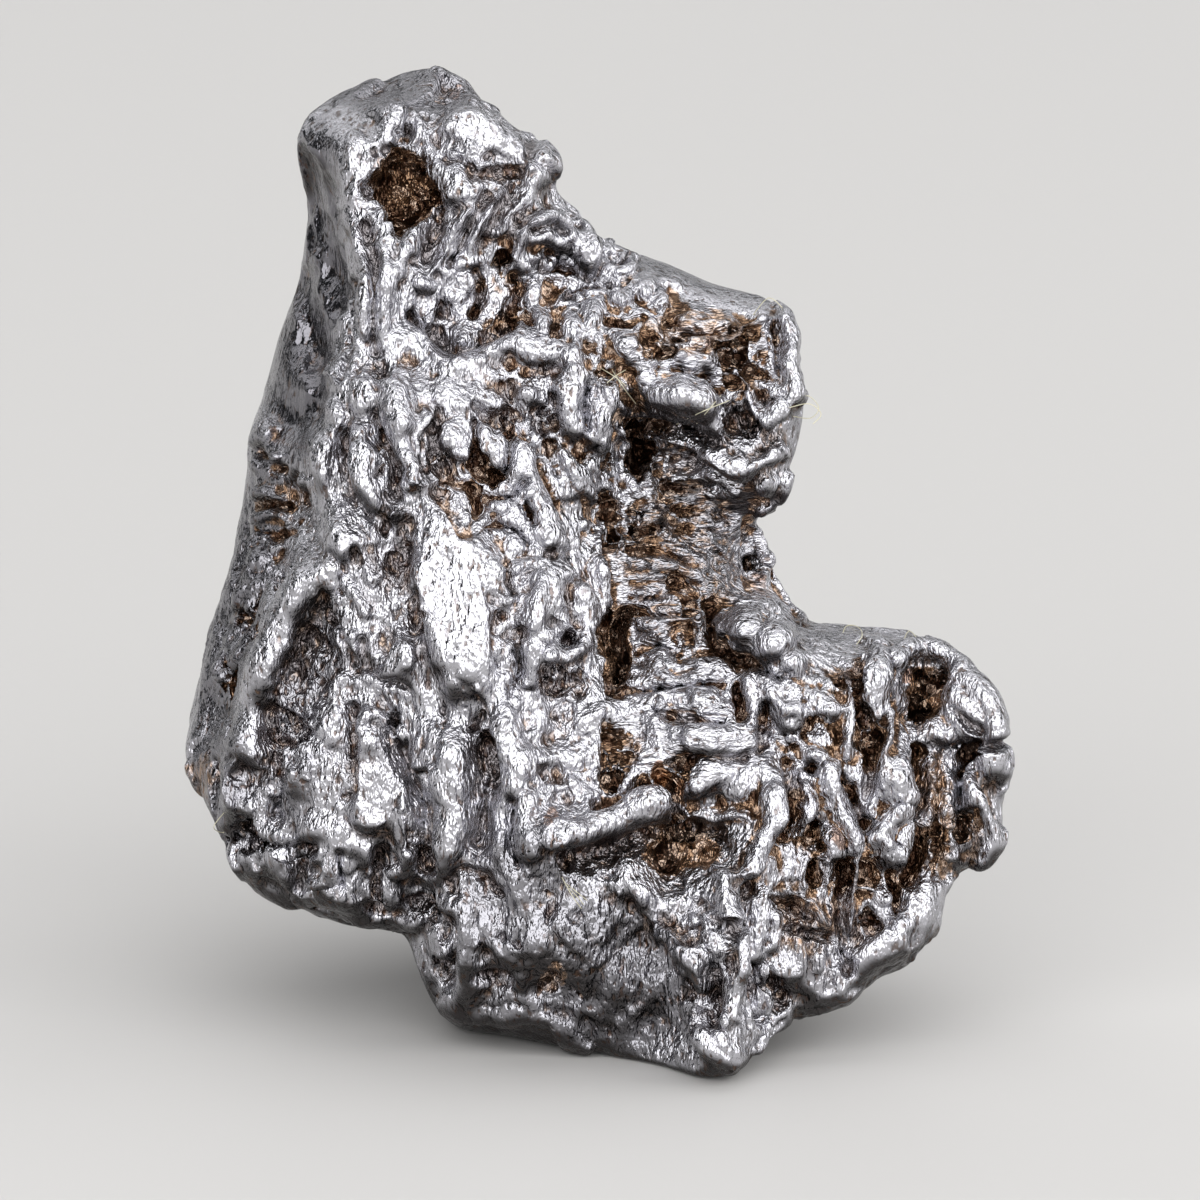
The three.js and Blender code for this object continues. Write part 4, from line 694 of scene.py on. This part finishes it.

# Where painted shade darkens the metal, which is rougher there too, where it is satin, where rust lines the
# whole hollow, where that is loose and orange, and where the fine streaks run across the metal: the share.
dullShadePatches = [
    (-7.2, 20.0, 1.1, 4.4, -4, 0.85), (-8.9, 12.5, 0.9, 4.5, -12, 0.7), (0.6, 2.8, 2.2, 2.2, 10, 0.62),
    (-4.8, 25.0, 2.4, 0.7, -5, 0.6), (-9.3, 8.0, 0.9, 2.2, 0, 0.6), (-1.6, 4.2, 2.0, 2.6, 0, 0.45),
    (-7.1, 10.6, 0.7, 1.8, -15, 0.4), (-7.4, 8.0, 0.7, 1.2, 0, 0.3), (2.4, 13.2, 1.7, 2.2, 0, 0.45),
]
satinPatches = [
    (-7.2, 20.0, 1.2, 4.6, -4, 0.9), (-8.9, 12.5, 0.9, 4.5, -12, 0.5), (-6.3, 24.3, 1.4, 0.8, 10, 0.7),
    (2.8, 20.1, 2.4, 0.5, -18, 0.6), (-3.4, 12.5, 1.0, 2.4, 12, 0.4),
]
liningPatches = [
    (-4.7, 22.6, 0.75, 1.0, 12, 0.9), (2.2, 6.1, 1.0, 0.6, 5, 0.7), (0.6, 11.2, 0.4, 1.0, 0, 0.8),
    (2.3, 13.2, 1.7, 2.2, 0, 0.26), (-9.9, 7.8, 0.35, 0.7, 0, 0.4), (-0.95, 2.9, 0.35, 0.45, 0, 0.4),
    (8.3, 10.0, 0.5, 0.7, 0, 0.8), (8.5, 7.0, 0.6, 1.6, 0, 0.4), (2.6, 18.9, 1.8, 0.7, 0, 0.4),
    (5.4, 4.2, 0.9, 0.9, 0, 0.35), (-2.3, 19.8, 0.8, 0.7, 30, 0.25),
]
amberSpots = [
    (7.85, 10.35, 0.16, 0.22, 0, 0.9), (1.75, 8.0, 0.2, 0.4, 10, 0.8), (2.2, 7.6, 0.12, 0.3, 0, 0.6),
    (6.15, 6.4, 0.14, 0.3, 20, 0.7), (-1.05, 6.9, 0.2, 0.35, -20, 0.6), (-3.4, 25.05, 0.22, 0.16, 0, 0.45),
    (2.9, 18.6, 0.2, 0.15, 0, 0.6), (4.3, 12.6, 0.15, 0.5, 35, 0.5),
]
levelPatches = [
    (2.4, 13.0, 2.2, 3.4, 0, 1.0), (2.6, 18.6, 2.4, 1.2, 0, 1.0), (2.5, 8.8, 2.5, 1.0, 0, 0.8),
]

# Where the rust has kept: x, v, half width, half height and share, over a little everywhere.
rustZones = {
    "everywhere": 0.3,
    "patches": [
        (2.5, 12.5, 3.5, 3.5, 0.75), (2.2, 18.5, 3.2, 2.2, 1.0), (6.5, 7.5, 4.0, 4.0, 0.9),
        (2.0, 8.5, 3.5, 2.5, 0.8), (-4.7, 22.6, 1.2, 1.4, 1.0), (-1.6, 20.0, 2.2, 1.6, 0.85),
        (-3.0, 18.3, 2.5, 1.0, 0.7), (-2.2, 15.0, 1.8, 2.2, 0.7), (-8.0, 14.5, 1.0, 2.5, 0.7),
        (-8.8, 10.5, 1.0, 2.0, 0.8), (0.4, 15.5, 2.0, 2.5, 0.8),
    ],
}


def inPatch(x, v, spot, fade):
    return 1 - smoothStep(*stone["fades"][fade], spotShare(x, v, spot))


def patchShare(x, v, patches):
    share = np.zeros(len(x))
    for *spot, most in patches:
        share = np.maximum(share, most * inPatch(x, v, spot, "patch"))
    return share


def rustZone(x, v):
    share = np.full(len(x), rustZones["everywhere"])
    for *spot, most in rustZones["patches"]:
        share = np.maximum(share, most * inPatch(x, v, [*spot, 0], "zone"))
    return share


def onMarks(name, marked):
    # The share that the raised marks have of what is named.
    share, *edge = stone[name]
    return share * smoothStep(*edge, marked)


def crumple(surface, x, v, marked, hidden):
    # Facets and thin winding creases, on every side, and less on the raised marks. Thumbprints behind.
    share = smoothStep(*stone["footCalm"], surface.places[:, 2])
    share = share * (1 - onMarks("markCalm", marked))
    for *spot, loss in calmPatches:
        share = share * (1 - loss * (1 - hidden) * inPatch(x, v, spot, "calm"))
    directions = surface.normals()
    seen = smoothStep(*stone["seen"], directions @ outOfSheet)
    depth = np.zeros(len(surface.places))
    drawnOut = surface.places - np.outer((1 - stone["stretch"]) * (surface.places @ upSheet), upSheet)
    for size, tilt, shift, hiddenShare in stone["facets"]:
        heights = facetField(drawnOut, size, shift)
        depth += tilt * (hiddenShare + (1 - hiddenShare) * seen) * heights
    for size, rise, width, shift, hiddenShare in stone["wrinkles"]:
        crease = 1 - np.minimum(abs(noiseField(surface.places, size, shift)) / width, 1)
        depth -= rise * (hiddenShare + (1 - hiddenShare) * seen) * crease ** stone["wrinkleSharpness"]
    for size, rise, shift in stone["thumbprints"]:
        dip = smoothStep(*stone["thumbprintEdge"], noiseField(surface.places, size, shift))
        depth -= rise * hidden * dip
    surface.places += directions * surface.averaged(depth * share, stone["crumpleEase"])[:, None]


def storeFinish(surface, place, drawn, marked, hidden):
    # What the finish reads at every point. The patches are of the front alone.
    front = 1 - hidden
    hollow = surface.hollowness(stone["hollowPasses"])
    deep = surface.hollowness(stone["deepPasses"])
    most, size, *edge = stone["hiddenSkin"]
    skin = most * hidden * smoothStep(*edge, noiseField(surface.places, size, stone["shifts"]["skin"]))
    passes, *underEdge = stone["underShade"]
    lookingDown = -surface.averaged(surface.normals()[:, 2], passes)
    kept = np.maximum(front * rustZone(*place), rustZones["everywhere"]) * (1 - onMarks("markClean", marked))
    stain = kept * smoothStep(*stone["stain"], hollow + stone["deepShare"] * deep)
    satin = np.maximum(front * patchShare(*place, satinPatches), stone["hiddenSatin"] * hidden)
    surface.attribute("deep", deep)
    # Painted shade on the front patches, and a real dull skin behind.
    surface.attribute("dullSkinAndShade", np.maximum(front * patchShare(*drawn, dullShadePatches), skin))
    # Painted shade: the undersides that look down are darkened in the colour.
    surface.attribute("underShade", smoothStep(*underEdge, lookingDown))
    surface.attribute("stain", np.maximum(stain, front * patchShare(*drawn, liningPatches)))
    surface.attribute("amber", front * patchShare(*drawn, amberSpots))
    surface.attribute("across", front * patchShare(*drawn, levelPatches))
    surface.attribute("satin", np.maximum(satin, onMarks("markSatin", marked)))
    # Painted shade: the hollows between the raised marks are darkened.
    surface.attribute("hollowShade", smoothStep(*stone["hollowShade"], hollow))


def makeStone():
    piece = nodeCopy("meteorite", "meteorite_iron")
    surface = MetalSurface(piece.data)
    shifts = stone["shifts"]
    x = surface.places[:, 0] + sheet["middleX"]
    v = surface.places @ upSheet
    v += sheet["topV"] - v.max()
    directions = surface.normals()
    facing = smoothStep(*stone["facing"], directions @ outOfSheet)
    hidden = 1 - smoothStep(*stone["hidden"], directions @ outOfSheet)
    lift = outOfSheet + directions
    lift /= np.maximum(np.linalg.norm(lift, axis=1), 0.1)[:, None]
    drawnX, drawnV = x.copy(), v.copy()
    for size, reach in stone["waver"]:
        drawnX += reach * noiseField(surface.places, size, shifts["x"])
        drawnV += reach * noiseField(surface.places, size, shifts["v"])
    size, snap = stone["cells"]
    aside = snap * (cellMiddles(surface.places, size, shifts["cells"]) - surface.places)
    loose = (drawnX + aside[:, 0], drawnV + aside @ upSheet)
    uneven = 1 + sum(
        share * noiseField(surface.places, size, shifts["uneven"]) for size, share in stone["uneven"])
    height, smooth = reliefAt((drawnX, drawnV), loose, uneven)
    surface.places += lift * (height * facing)[:, None]
    for *spot, sideways, upwards in flatPatches:
        share = facing * inPatch(drawnX, drawnV, spot, "flat")
        depth = surface.places @ outOfSheet
        level = np.average(depth, weights=share) + sideways * (x - spot[0]) + upwards * (v - spot[1])
        surface.places += np.outer(share * (level - depth), outOfSheet)
    marked = smooth * facing
    crumple(surface, x, v, marked, hidden)
    surface.places[:, 2] = np.maximum(surface.places[:, 2], 0)
    storeFinish(surface, (x, v), (drawnX, drawnV), marked, hidden)
    surface.store()
    print("stone:", len(piece.data.polygons), "faces")
    return piece


class Value:
    # A socket that takes part in expressions, each of which adds its Math nodes.
    def __init__(self, finish, socket):
        self.finish = finish
        self.socket = socket

    def math(self, operation, first, second):
        return self.finish.node("ShaderNodeMath", {"operation": operation}, {0: first, 1: second})[0]

    def __add__(self, other):
        return self.math("ADD", self, other)

    def __sub__(self, other):
        return self.math("SUBTRACT", self, other)

    def __rsub__(self, other):
        return self.math("SUBTRACT", other, self)

    def __mul__(self, other):
        return self.math("MULTIPLY", self, other)

    def above(self, other):
        return self.math("GREATER_THAN", self, other)

    __radd__ = __add__
    __rmul__ = __mul__


class Finish:
    # A material and the nodes that it is made of.
    def __init__(self, name):
        self.material = bpy.data.materials.new(name)
        self.material.use_nodes = True
        self.tree = self.material.node_tree
        self.tree.nodes.clear()
        self.shader = self.tree.nodes.new("ShaderNodeBsdfPrincipled")
        output = self.tree.nodes.new("ShaderNodeOutputMaterial")
        self.tree.links.new(self.shader.outputs["BSDF"], output.inputs["Surface"])

    def node(self, kind, settings=None, inputs=None):
        made = self.tree.nodes.new(kind)
        for name, setting in (settings or {}).items():
            setattr(made, name, setting)
        for name, value in (inputs or {}).items():
            self.feed(made.inputs[name], value)
        return [Value(self, socket) for socket in made.outputs]

    def feed(self, socket, value):
        if isinstance(value, Value):
            self.tree.links.new(value.socket, socket)
        else:
            socket.default_value = value

    def set(self, name, value):
        self.feed(self.shader.inputs[name], value)

    def attribute(self, name):
        return self.node("ShaderNodeAttribute", {"attribute_name": name})[2]

    def inMillimetres(self):
        place = self.node("ShaderNodeTexCoord")[3]
        inputs = {0: place, "Scale": 1 / millimetre}
        return self.node("ShaderNodeVectorMath", {"operation": "SCALE"}, inputs)[0]

    def ramp(self, value, low, high, start=0.0, end=1.0):
        settings = {"interpolation_type": "SMOOTHSTEP"}
        return self.node("ShaderNodeMapRange", settings, {0: value, 1: low, 2: high, 3: start, 4: end})[0]

    def mix(self, factor, first, second):
        settings = {"data_type": "RGBA"}
        return self.node("ShaderNodeMix", settings, {0: factor, 6: first, 7: second})[2]

    def mixVectors(self, factor, first, second):
        settings = {"data_type": "VECTOR"}
        return self.node("ShaderNodeMix", settings, {0: factor, 4: first, 5: second})[1]

    def noise(self, place, size, detail, roughness):
        inputs = {"Vector": place, "Scale": 1 / size, "Detail": detail, "Roughness": roughness}
        return self.node("ShaderNodeTexNoise", None, inputs)[0]

    def vector(self, operation, first, second):
        return self.node("ShaderNodeVectorMath", {"operation": operation}, {0: first, 1: second})

    def foil(self, place, size):
        # The height of small flat facets, each with a tilt of its own, and a colour by chance.
        cells = self.node("ShaderNodeTexVoronoi", None, {"Vector": place, "Scale": 1 / size})
        tilt = self.vector("SUBTRACT", cells[1], (0.5, 0.5, 0.5))[0]
        aside = self.vector("SUBTRACT", place, cells[2])[0]
        return self.vector("DOT_PRODUCT", aside, tilt)[1], cells[1]

    def bump(self, height):
        inputs = {"Strength": 1.0, "Distance": millimetre, "Height": height}
        return self.node("ShaderNodeBump", None, inputs)[0]


def plainFinish(name, values):
    finish = Finish(name)
    finish.set("Base Color", values["colour"])
    finish.set("Roughness", values["roughness"])
    return finish.material


def newPiece(name, shape):
    # An object of the shape, which is used up.
    mesh = bpy.data.meshes.new(name)
    shape.to_mesh(mesh)
    shape.free()
    piece = bpy.data.objects.new(name, mesh)
    scene.collection.objects.link(piece)
    return piece


metal = {
    "silver": (0.59, 0.587, 0.625, 1),
    "dullSilver": (0.44, 0.435, 0.465, 1),
    # dark colour: painted shade on the front patches, and the dull skin behind
    "skin": (0.14, 0.135, 0.15, 1),
    "hollowShade": (0.065, 0.044, 0.036, 1),  # painted shade: the darkening in the hollows between the raised marks
    "rust": (0.32, 0.205, 0.13, 1),
    # dark rust for the specks, and painted shade where the rust lies deep
    "darkRustAndShade": (0.062, 0.032, 0.019, 1),
    # painted glint: the tan put on random cells of the rust
    "paintedGlint": (0.5, 0.38, 0.3, 1),
    "amber": (0.27, 0.13, 0.06, 1),
    "paintedUnderShade": (0.06, 0.055, 0.055, 1),  # painted shade: the darker colour put on the undersides that look down
    "shares": {"specks": 0.75, "hollowShade": 0.7, "amber": 0.7, "paintedGlints": 0.8},  # how strongly each covers
    "mottle": (0.8, 2.0, 0.6),  # size in millimetres, detail and roughness of the noise
    "streaks": (0.16, 2.0, 0.6),
    "upright": (1.0, 1.0, 0.45),  # how the streaks are drawn out, up the metal
    "level": (0.45, 1.0, 1.0),  # and across it
    "facet": 0.2,  # millimetres
    "glintEdge": (0.6, 0.85),  # where each thing sets in, and where it is full
    "speckEdge": (0.06, 0.14),
    "speckMottle": (0.35, 0.6),
    "rustEdge": (0.15, 0.65),
    "darkEdge": (0.0, 0.3),
    "amberEdge": (0.2, 0.8),
    "roughEdge": (0.1, 0.6),
    "ragged": 1.2,  # how much the streaks break up the edges of the rust
    "patchy": 0.3,  # and the mottling
    "darkRagged": 0.8,
    "roughness": (0.15, 0.27),
    "rustRoughness": 0.28,
    "rustMetallic": 0.92,
    "dullRough": 0.4,  # how rough the dull skin is, where rust is 1
    "foilRelief": (0.33, 1.0),  # steepness on bare metal, and what rough places add to it
    "streakRelief": (0.18, 0.05),
    "satinCalm": 0.85,  # how much of both a satin place loses
}


def metalFinish():
    finish = Finish("meteoritic_iron")
    shares = metal["shares"]
    place = finish.inMillimetres()
    dullSkinAndShade = finish.attribute("dullSkinAndShade")
    stained = finish.attribute("stain")
    drawnOut = finish.mixVectors(finish.attribute("across").above(0.5), metal["upright"], metal["level"])
    mottle = finish.noise(place, *metal["mottle"])
    streaks = finish.noise(finish.vector("MULTIPLY", place, drawnOut)[0], *metal["streaks"])
    foil, chance = finish.foil(place, metal["facet"])
    # Painted glints: random cells of the rust are picked to be lightened.
    paintedGlints = finish.ramp(chance, *metal["glintEdge"])
    valleys = 0.5 - streaks
    specks = finish.ramp(valleys, *metal["speckEdge"]) * finish.ramp(mottle, *metal["speckMottle"])
    ragged = metal["ragged"] * valleys
    rust = finish.ramp(stained + ragged + metal["patchy"] * (mottle - 0.5), *metal["rustEdge"])
    # The rust is real; its darkening where the metal lies deep is painted shade.
    paintedDeepShade = finish.ramp(finish.attribute("deep") + metal["darkRagged"] * valleys, *metal["darkEdge"])
    amber = shares["amber"] * finish.ramp(finish.attribute("amber") - ragged, *metal["amberEdge"])
    bare = finish.mix(mottle, metal["dullSilver"], metal["silver"])
    # Painted shade on the front patches, and the dull skin behind.
    bare = finish.mix(dullSkinAndShade, bare, metal["skin"])
    # Painted shade: the metal is darker where it looks down.
    bare = finish.mix(finish.attribute("underShade"), bare, metal["paintedUnderShade"])
    bare = finish.mix(shares["specks"] * specks, bare, metal["darkRustAndShade"])
    # Painted shade: bare metal darkened in the hollows.
    bare = finish.mix(shares["hollowShade"] * finish.attribute("hollowShade"), bare, metal["hollowShade"])
    stain = finish.mix(paintedDeepShade, metal["rust"], metal["darkRustAndShade"])
    stain = finish.mix(shares["paintedGlints"] * paintedGlints, stain, metal["paintedGlint"])
    low, high = metal["roughness"]
    roughness = low + (high - low) * mottle
    finish.set("Base Color", finish.mix(amber, finish.mix(rust, bare, stain), metal["amber"]))
    finish.set("Metallic", 1 - rust * (1 - metal["rustMetallic"]))
    finish.set("Roughness", roughness + rust * (metal["rustRoughness"] - high))
    rough = finish.ramp(stained, *metal["roughEdge"]) + metal["dullRough"] * dullSkinAndShade
    relief = 0
    for part, (least, more) in ((foil, metal["foilRelief"]), (streaks, metal["streakRelief"])):
        relief = relief + (least + more * rough) * part
    finish.set("Normal", finish.bump((1 - metal["satinCalm"] * finish.attribute("satin")) * relief))
    return finish.material


# Fibres caught on the metal: the places that each runs through, as x, v and how far it stands off.
lint = {
    "radius": 0.011,  # millimetres
    "sides": 5,
    "sink": 0.03,  # how far a fibre with no stand-off lies in the metal
    "castFrom": 50,  # how far out the metal is looked for
    "colour": (0.55, 0.52, 0.38, 1),
    "roughness": 0.6,
    "fibres": [
        [(0.2, 18.0, 0.0), (0.6, 17.75, 0.25), (0.95, 17.45, 0.0)],
        [(0.35, 17.6, 0.0), (0.6, 17.8, 0.22), (0.85, 17.95, 0.0)],
        [(0.5, 17.95, 0.0), (0.75, 17.55, 0.25), (1.1, 17.1, 0.0)],
        [(2.1, 16.6, 0.0), (2.75, 16.9, 0.3), (3.45, 17.2, 0.0)],
        [(2.6, 16.6, 0.0), (2.95, 17.0, 0.3), (3.2, 17.3, 0.0)],
        [(4.9, 17.3, 0.0), (5.4, 17.3, 0.15), (5.65, 17.0, 0.2), (5.45, 16.75, 0.15), (5.0, 16.8, 0.0)],
        [(4.9, 17.0, 0.0), (5.4, 17.1, 0.15), (5.7, 16.85, 0.2), (5.5, 16.6, 0.2)],
        [(-0.75, 5.35, 0.0), (-0.5, 4.9, 0.3), (-0.25, 4.55, 0.0)],
        [(-0.6, 5.1, 0.0), (-0.35, 4.85, 0.25), (-0.2, 4.65, 0.0)],
        [(-0.65, 5.2, 0.0), (-0.4, 5.0, 0.3), (-0.1, 4.75, 0.0)],
        [(6.2, 11.1, 0.0), (6.35, 11.55, 0.2), (6.65, 11.55, 0.25), (6.75, 11.35, 0.15), (6.6, 11.1, 0.0)],
        [(-9.2, 6.9, 0.0), (-9.45, 6.55, 0.15), (-9.25, 6.4, 0.15), (-8.95, 6.5, 0.0)],
        [(4.0, 19.3, 0.0), (4.4, 19.75, 0.2), (4.75, 19.5, 0.0)],
        [(7.7, 11.0, 0.0), (7.95, 11.45, 0.2), (8.25, 11.05, 0.0)],
    ],
}


def makeLint(stonePiece):
    mesh = stonePiece.data
    polygons = [tuple(polygon.vertices) for polygon in mesh.polygons]
    tree = BVHTree.FromPolygons([vertex.co / millimetre for vertex in mesh.vertices], polygons)
    shiftV = sheet["topV"] - max(Vector(upSheet).dot(vertex.co) for vertex in mesh.vertices) / millimetre
    shape = bmesh.new()
    for fibre in lint["fibres"]:
        depth = 0.0
        places = []
        for x, v, standOff in fibre:
            flat = np.array((x - sheet["middleX"], 0, 0)) + (v - shiftV) * upSheet
            hit = tree.ray_cast(Vector(flat + lint["castFrom"] * outOfSheet), Vector(-outOfSheet))[0]
            depth = Vector(outOfSheet).dot(hit) if hit else depth
            places.append(flat + (depth + standOff - (0 if standOff else lint["sink"])) * outOfSheet)
        addTube(shape, smoothRun(places))
    bmesh.ops.recalc_face_normals(shape, faces=shape.faces)
    piece = newPiece("lint_fibres", shape)
    piece.data.materials.append(plainFinish("lint", lint))
    print("lint:", len(piece.data.polygons), "faces")
    return piece


def addTube(shape, run):
    # A round tube along the run, in millimetres, closed at both ends.
    before = []
    for at, place in enumerate(run):
        along = Vector(run[min(at + 1, len(run) - 1)] - run[max(at - 1, 0)])
        turned = along.to_track_quat("Z", "Y").to_matrix().to_4x4()
        made = bmesh.ops.create_circle(
            shape, cap_ends=at in (0, len(run) - 1), segments=lint["sides"],
            radius=lint["radius"] * millimetre,
            matrix=Matrix.Translation(Vector(place) * millimetre) @ turned)
        ring = list(dict.fromkeys(edge for vertex in made["verts"] for edge in vertex.link_edges))
        if before:
            bmesh.ops.bridge_loops(shape, edges=before + ring)
        before = ring


floorValues = {"across": 2.0, "colour": (0.58, 0.57, 0.56, 1), "roughness": 0.6}


def makeFloor():
    shape = bmesh.new()
    bmesh.ops.create_grid(shape, x_segments=1, y_segments=1, size=floorValues["across"] / 2)
    floor = newPiece("floor", shape)
    floor.data.materials.append(plainFinish("pale_floor", floorValues))


photoView = {
    "lens": 600.0,
    "sensor": 36.0,
    "across": 30.0,  # millimetres of the sheet that the picture spans
    "centre": (0.2, 12.175),  # x and v of the picture's middle
    "clip": (0.01, 10),  # metres
}


def makeCamera():
    lens = bpy.data.cameras.new("camera")
    lens.lens = photoView["lens"]
    lens.sensor_width = photoView["sensor"]
    lens.clip_start, lens.clip_end = photoView["clip"]
    camera = bpy.data.objects.new("camera", lens)
    scene.collection.objects.link(camera)
    places = np.array([place.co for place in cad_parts["meteorite"].data.vertices]) / millimetre
    shiftV = sheet["topV"] - (places @ upSheet).max()
    middle = (places.min(0) + places.max(0)) / 2
    middle[0] = photoView["centre"][0] - sheet["middleX"]
    middle += upSheet * (photoView["centre"][1] - shiftV - middle @ upSheet)
    away = photoView["lens"] / photoView["sensor"] * photoView["across"]
    camera.location = Vector((middle + outOfSheet * away) * millimetre)
    camera.rotation_euler = (math.radians(90) - lean, 0, 0)
    scene.camera = camera


# Soft panels: where they stand, how wide and tall they are, in metres, and how bright their faces are.
lights = {
    "key": {"at": (0.03, -0.466, 0.29), "across": (1.3, 0.7), "brightness": 2.7},
    "side": {"at": (0.5, -0.08, 0.2), "across": (0.45, 0.5), "brightness": 2.0},
    "backLeft": {"at": (-0.4, 0.36, 0.3), "across": (0.4, 0.4), "brightness": 1.0},
    "backRight": {"at": (0.42, 0.34, 0.3), "across": (0.4, 0.4), "brightness": 1.0},
    "back": {"at": (0.0, 0.55, 0.26), "across": (0.5, 0.3), "brightness": 0.8},
    "top": {"at": (0.0, 0.12, 0.55), "across": (0.7, 0.5), "brightness": 1.4},
}
studio = {"colour": (0.9, 0.95, 1.0, 1), "strength": 0.03, "aim": (0, 0, 0.012)}


def makeLights():
    aim = Vector(studio["aim"])
    for name, values in lights.items():
        lamp = bpy.data.lights.new(name, "AREA")
        lamp.shape = "RECTANGLE"
        lamp.size, lamp.size_y = values["across"]
        lamp.energy = values["brightness"] * math.pi * lamp.size * lamp.size_y
        holder = bpy.data.objects.new(name, lamp)
        holder.location = values["at"]
        holder.rotation_euler = (aim - holder.location).to_track_quat("-Z", "Y").to_euler()
        scene.collection.objects.link(holder)
    world = bpy.data.worlds.new("studio")
    world.use_nodes = True
    background = world.node_tree.nodes["Background"]
    background.inputs["Color"].default_value = studio["colour"]
    background.inputs["Strength"].default_value = studio["strength"]
    scene.world = world
    scene.view_settings.view_transform = "Standard"


makeCamera()
makeLights()
makeFloor()
print("stage: camera, lights and floor")

stonePiece = makeStone()
stonePiece.data.materials.append(metalFinish())
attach(stonePiece, "root")
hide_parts("meteorite")

lintPiece = makeLint(stonePiece)
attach(lintPiece, "root")
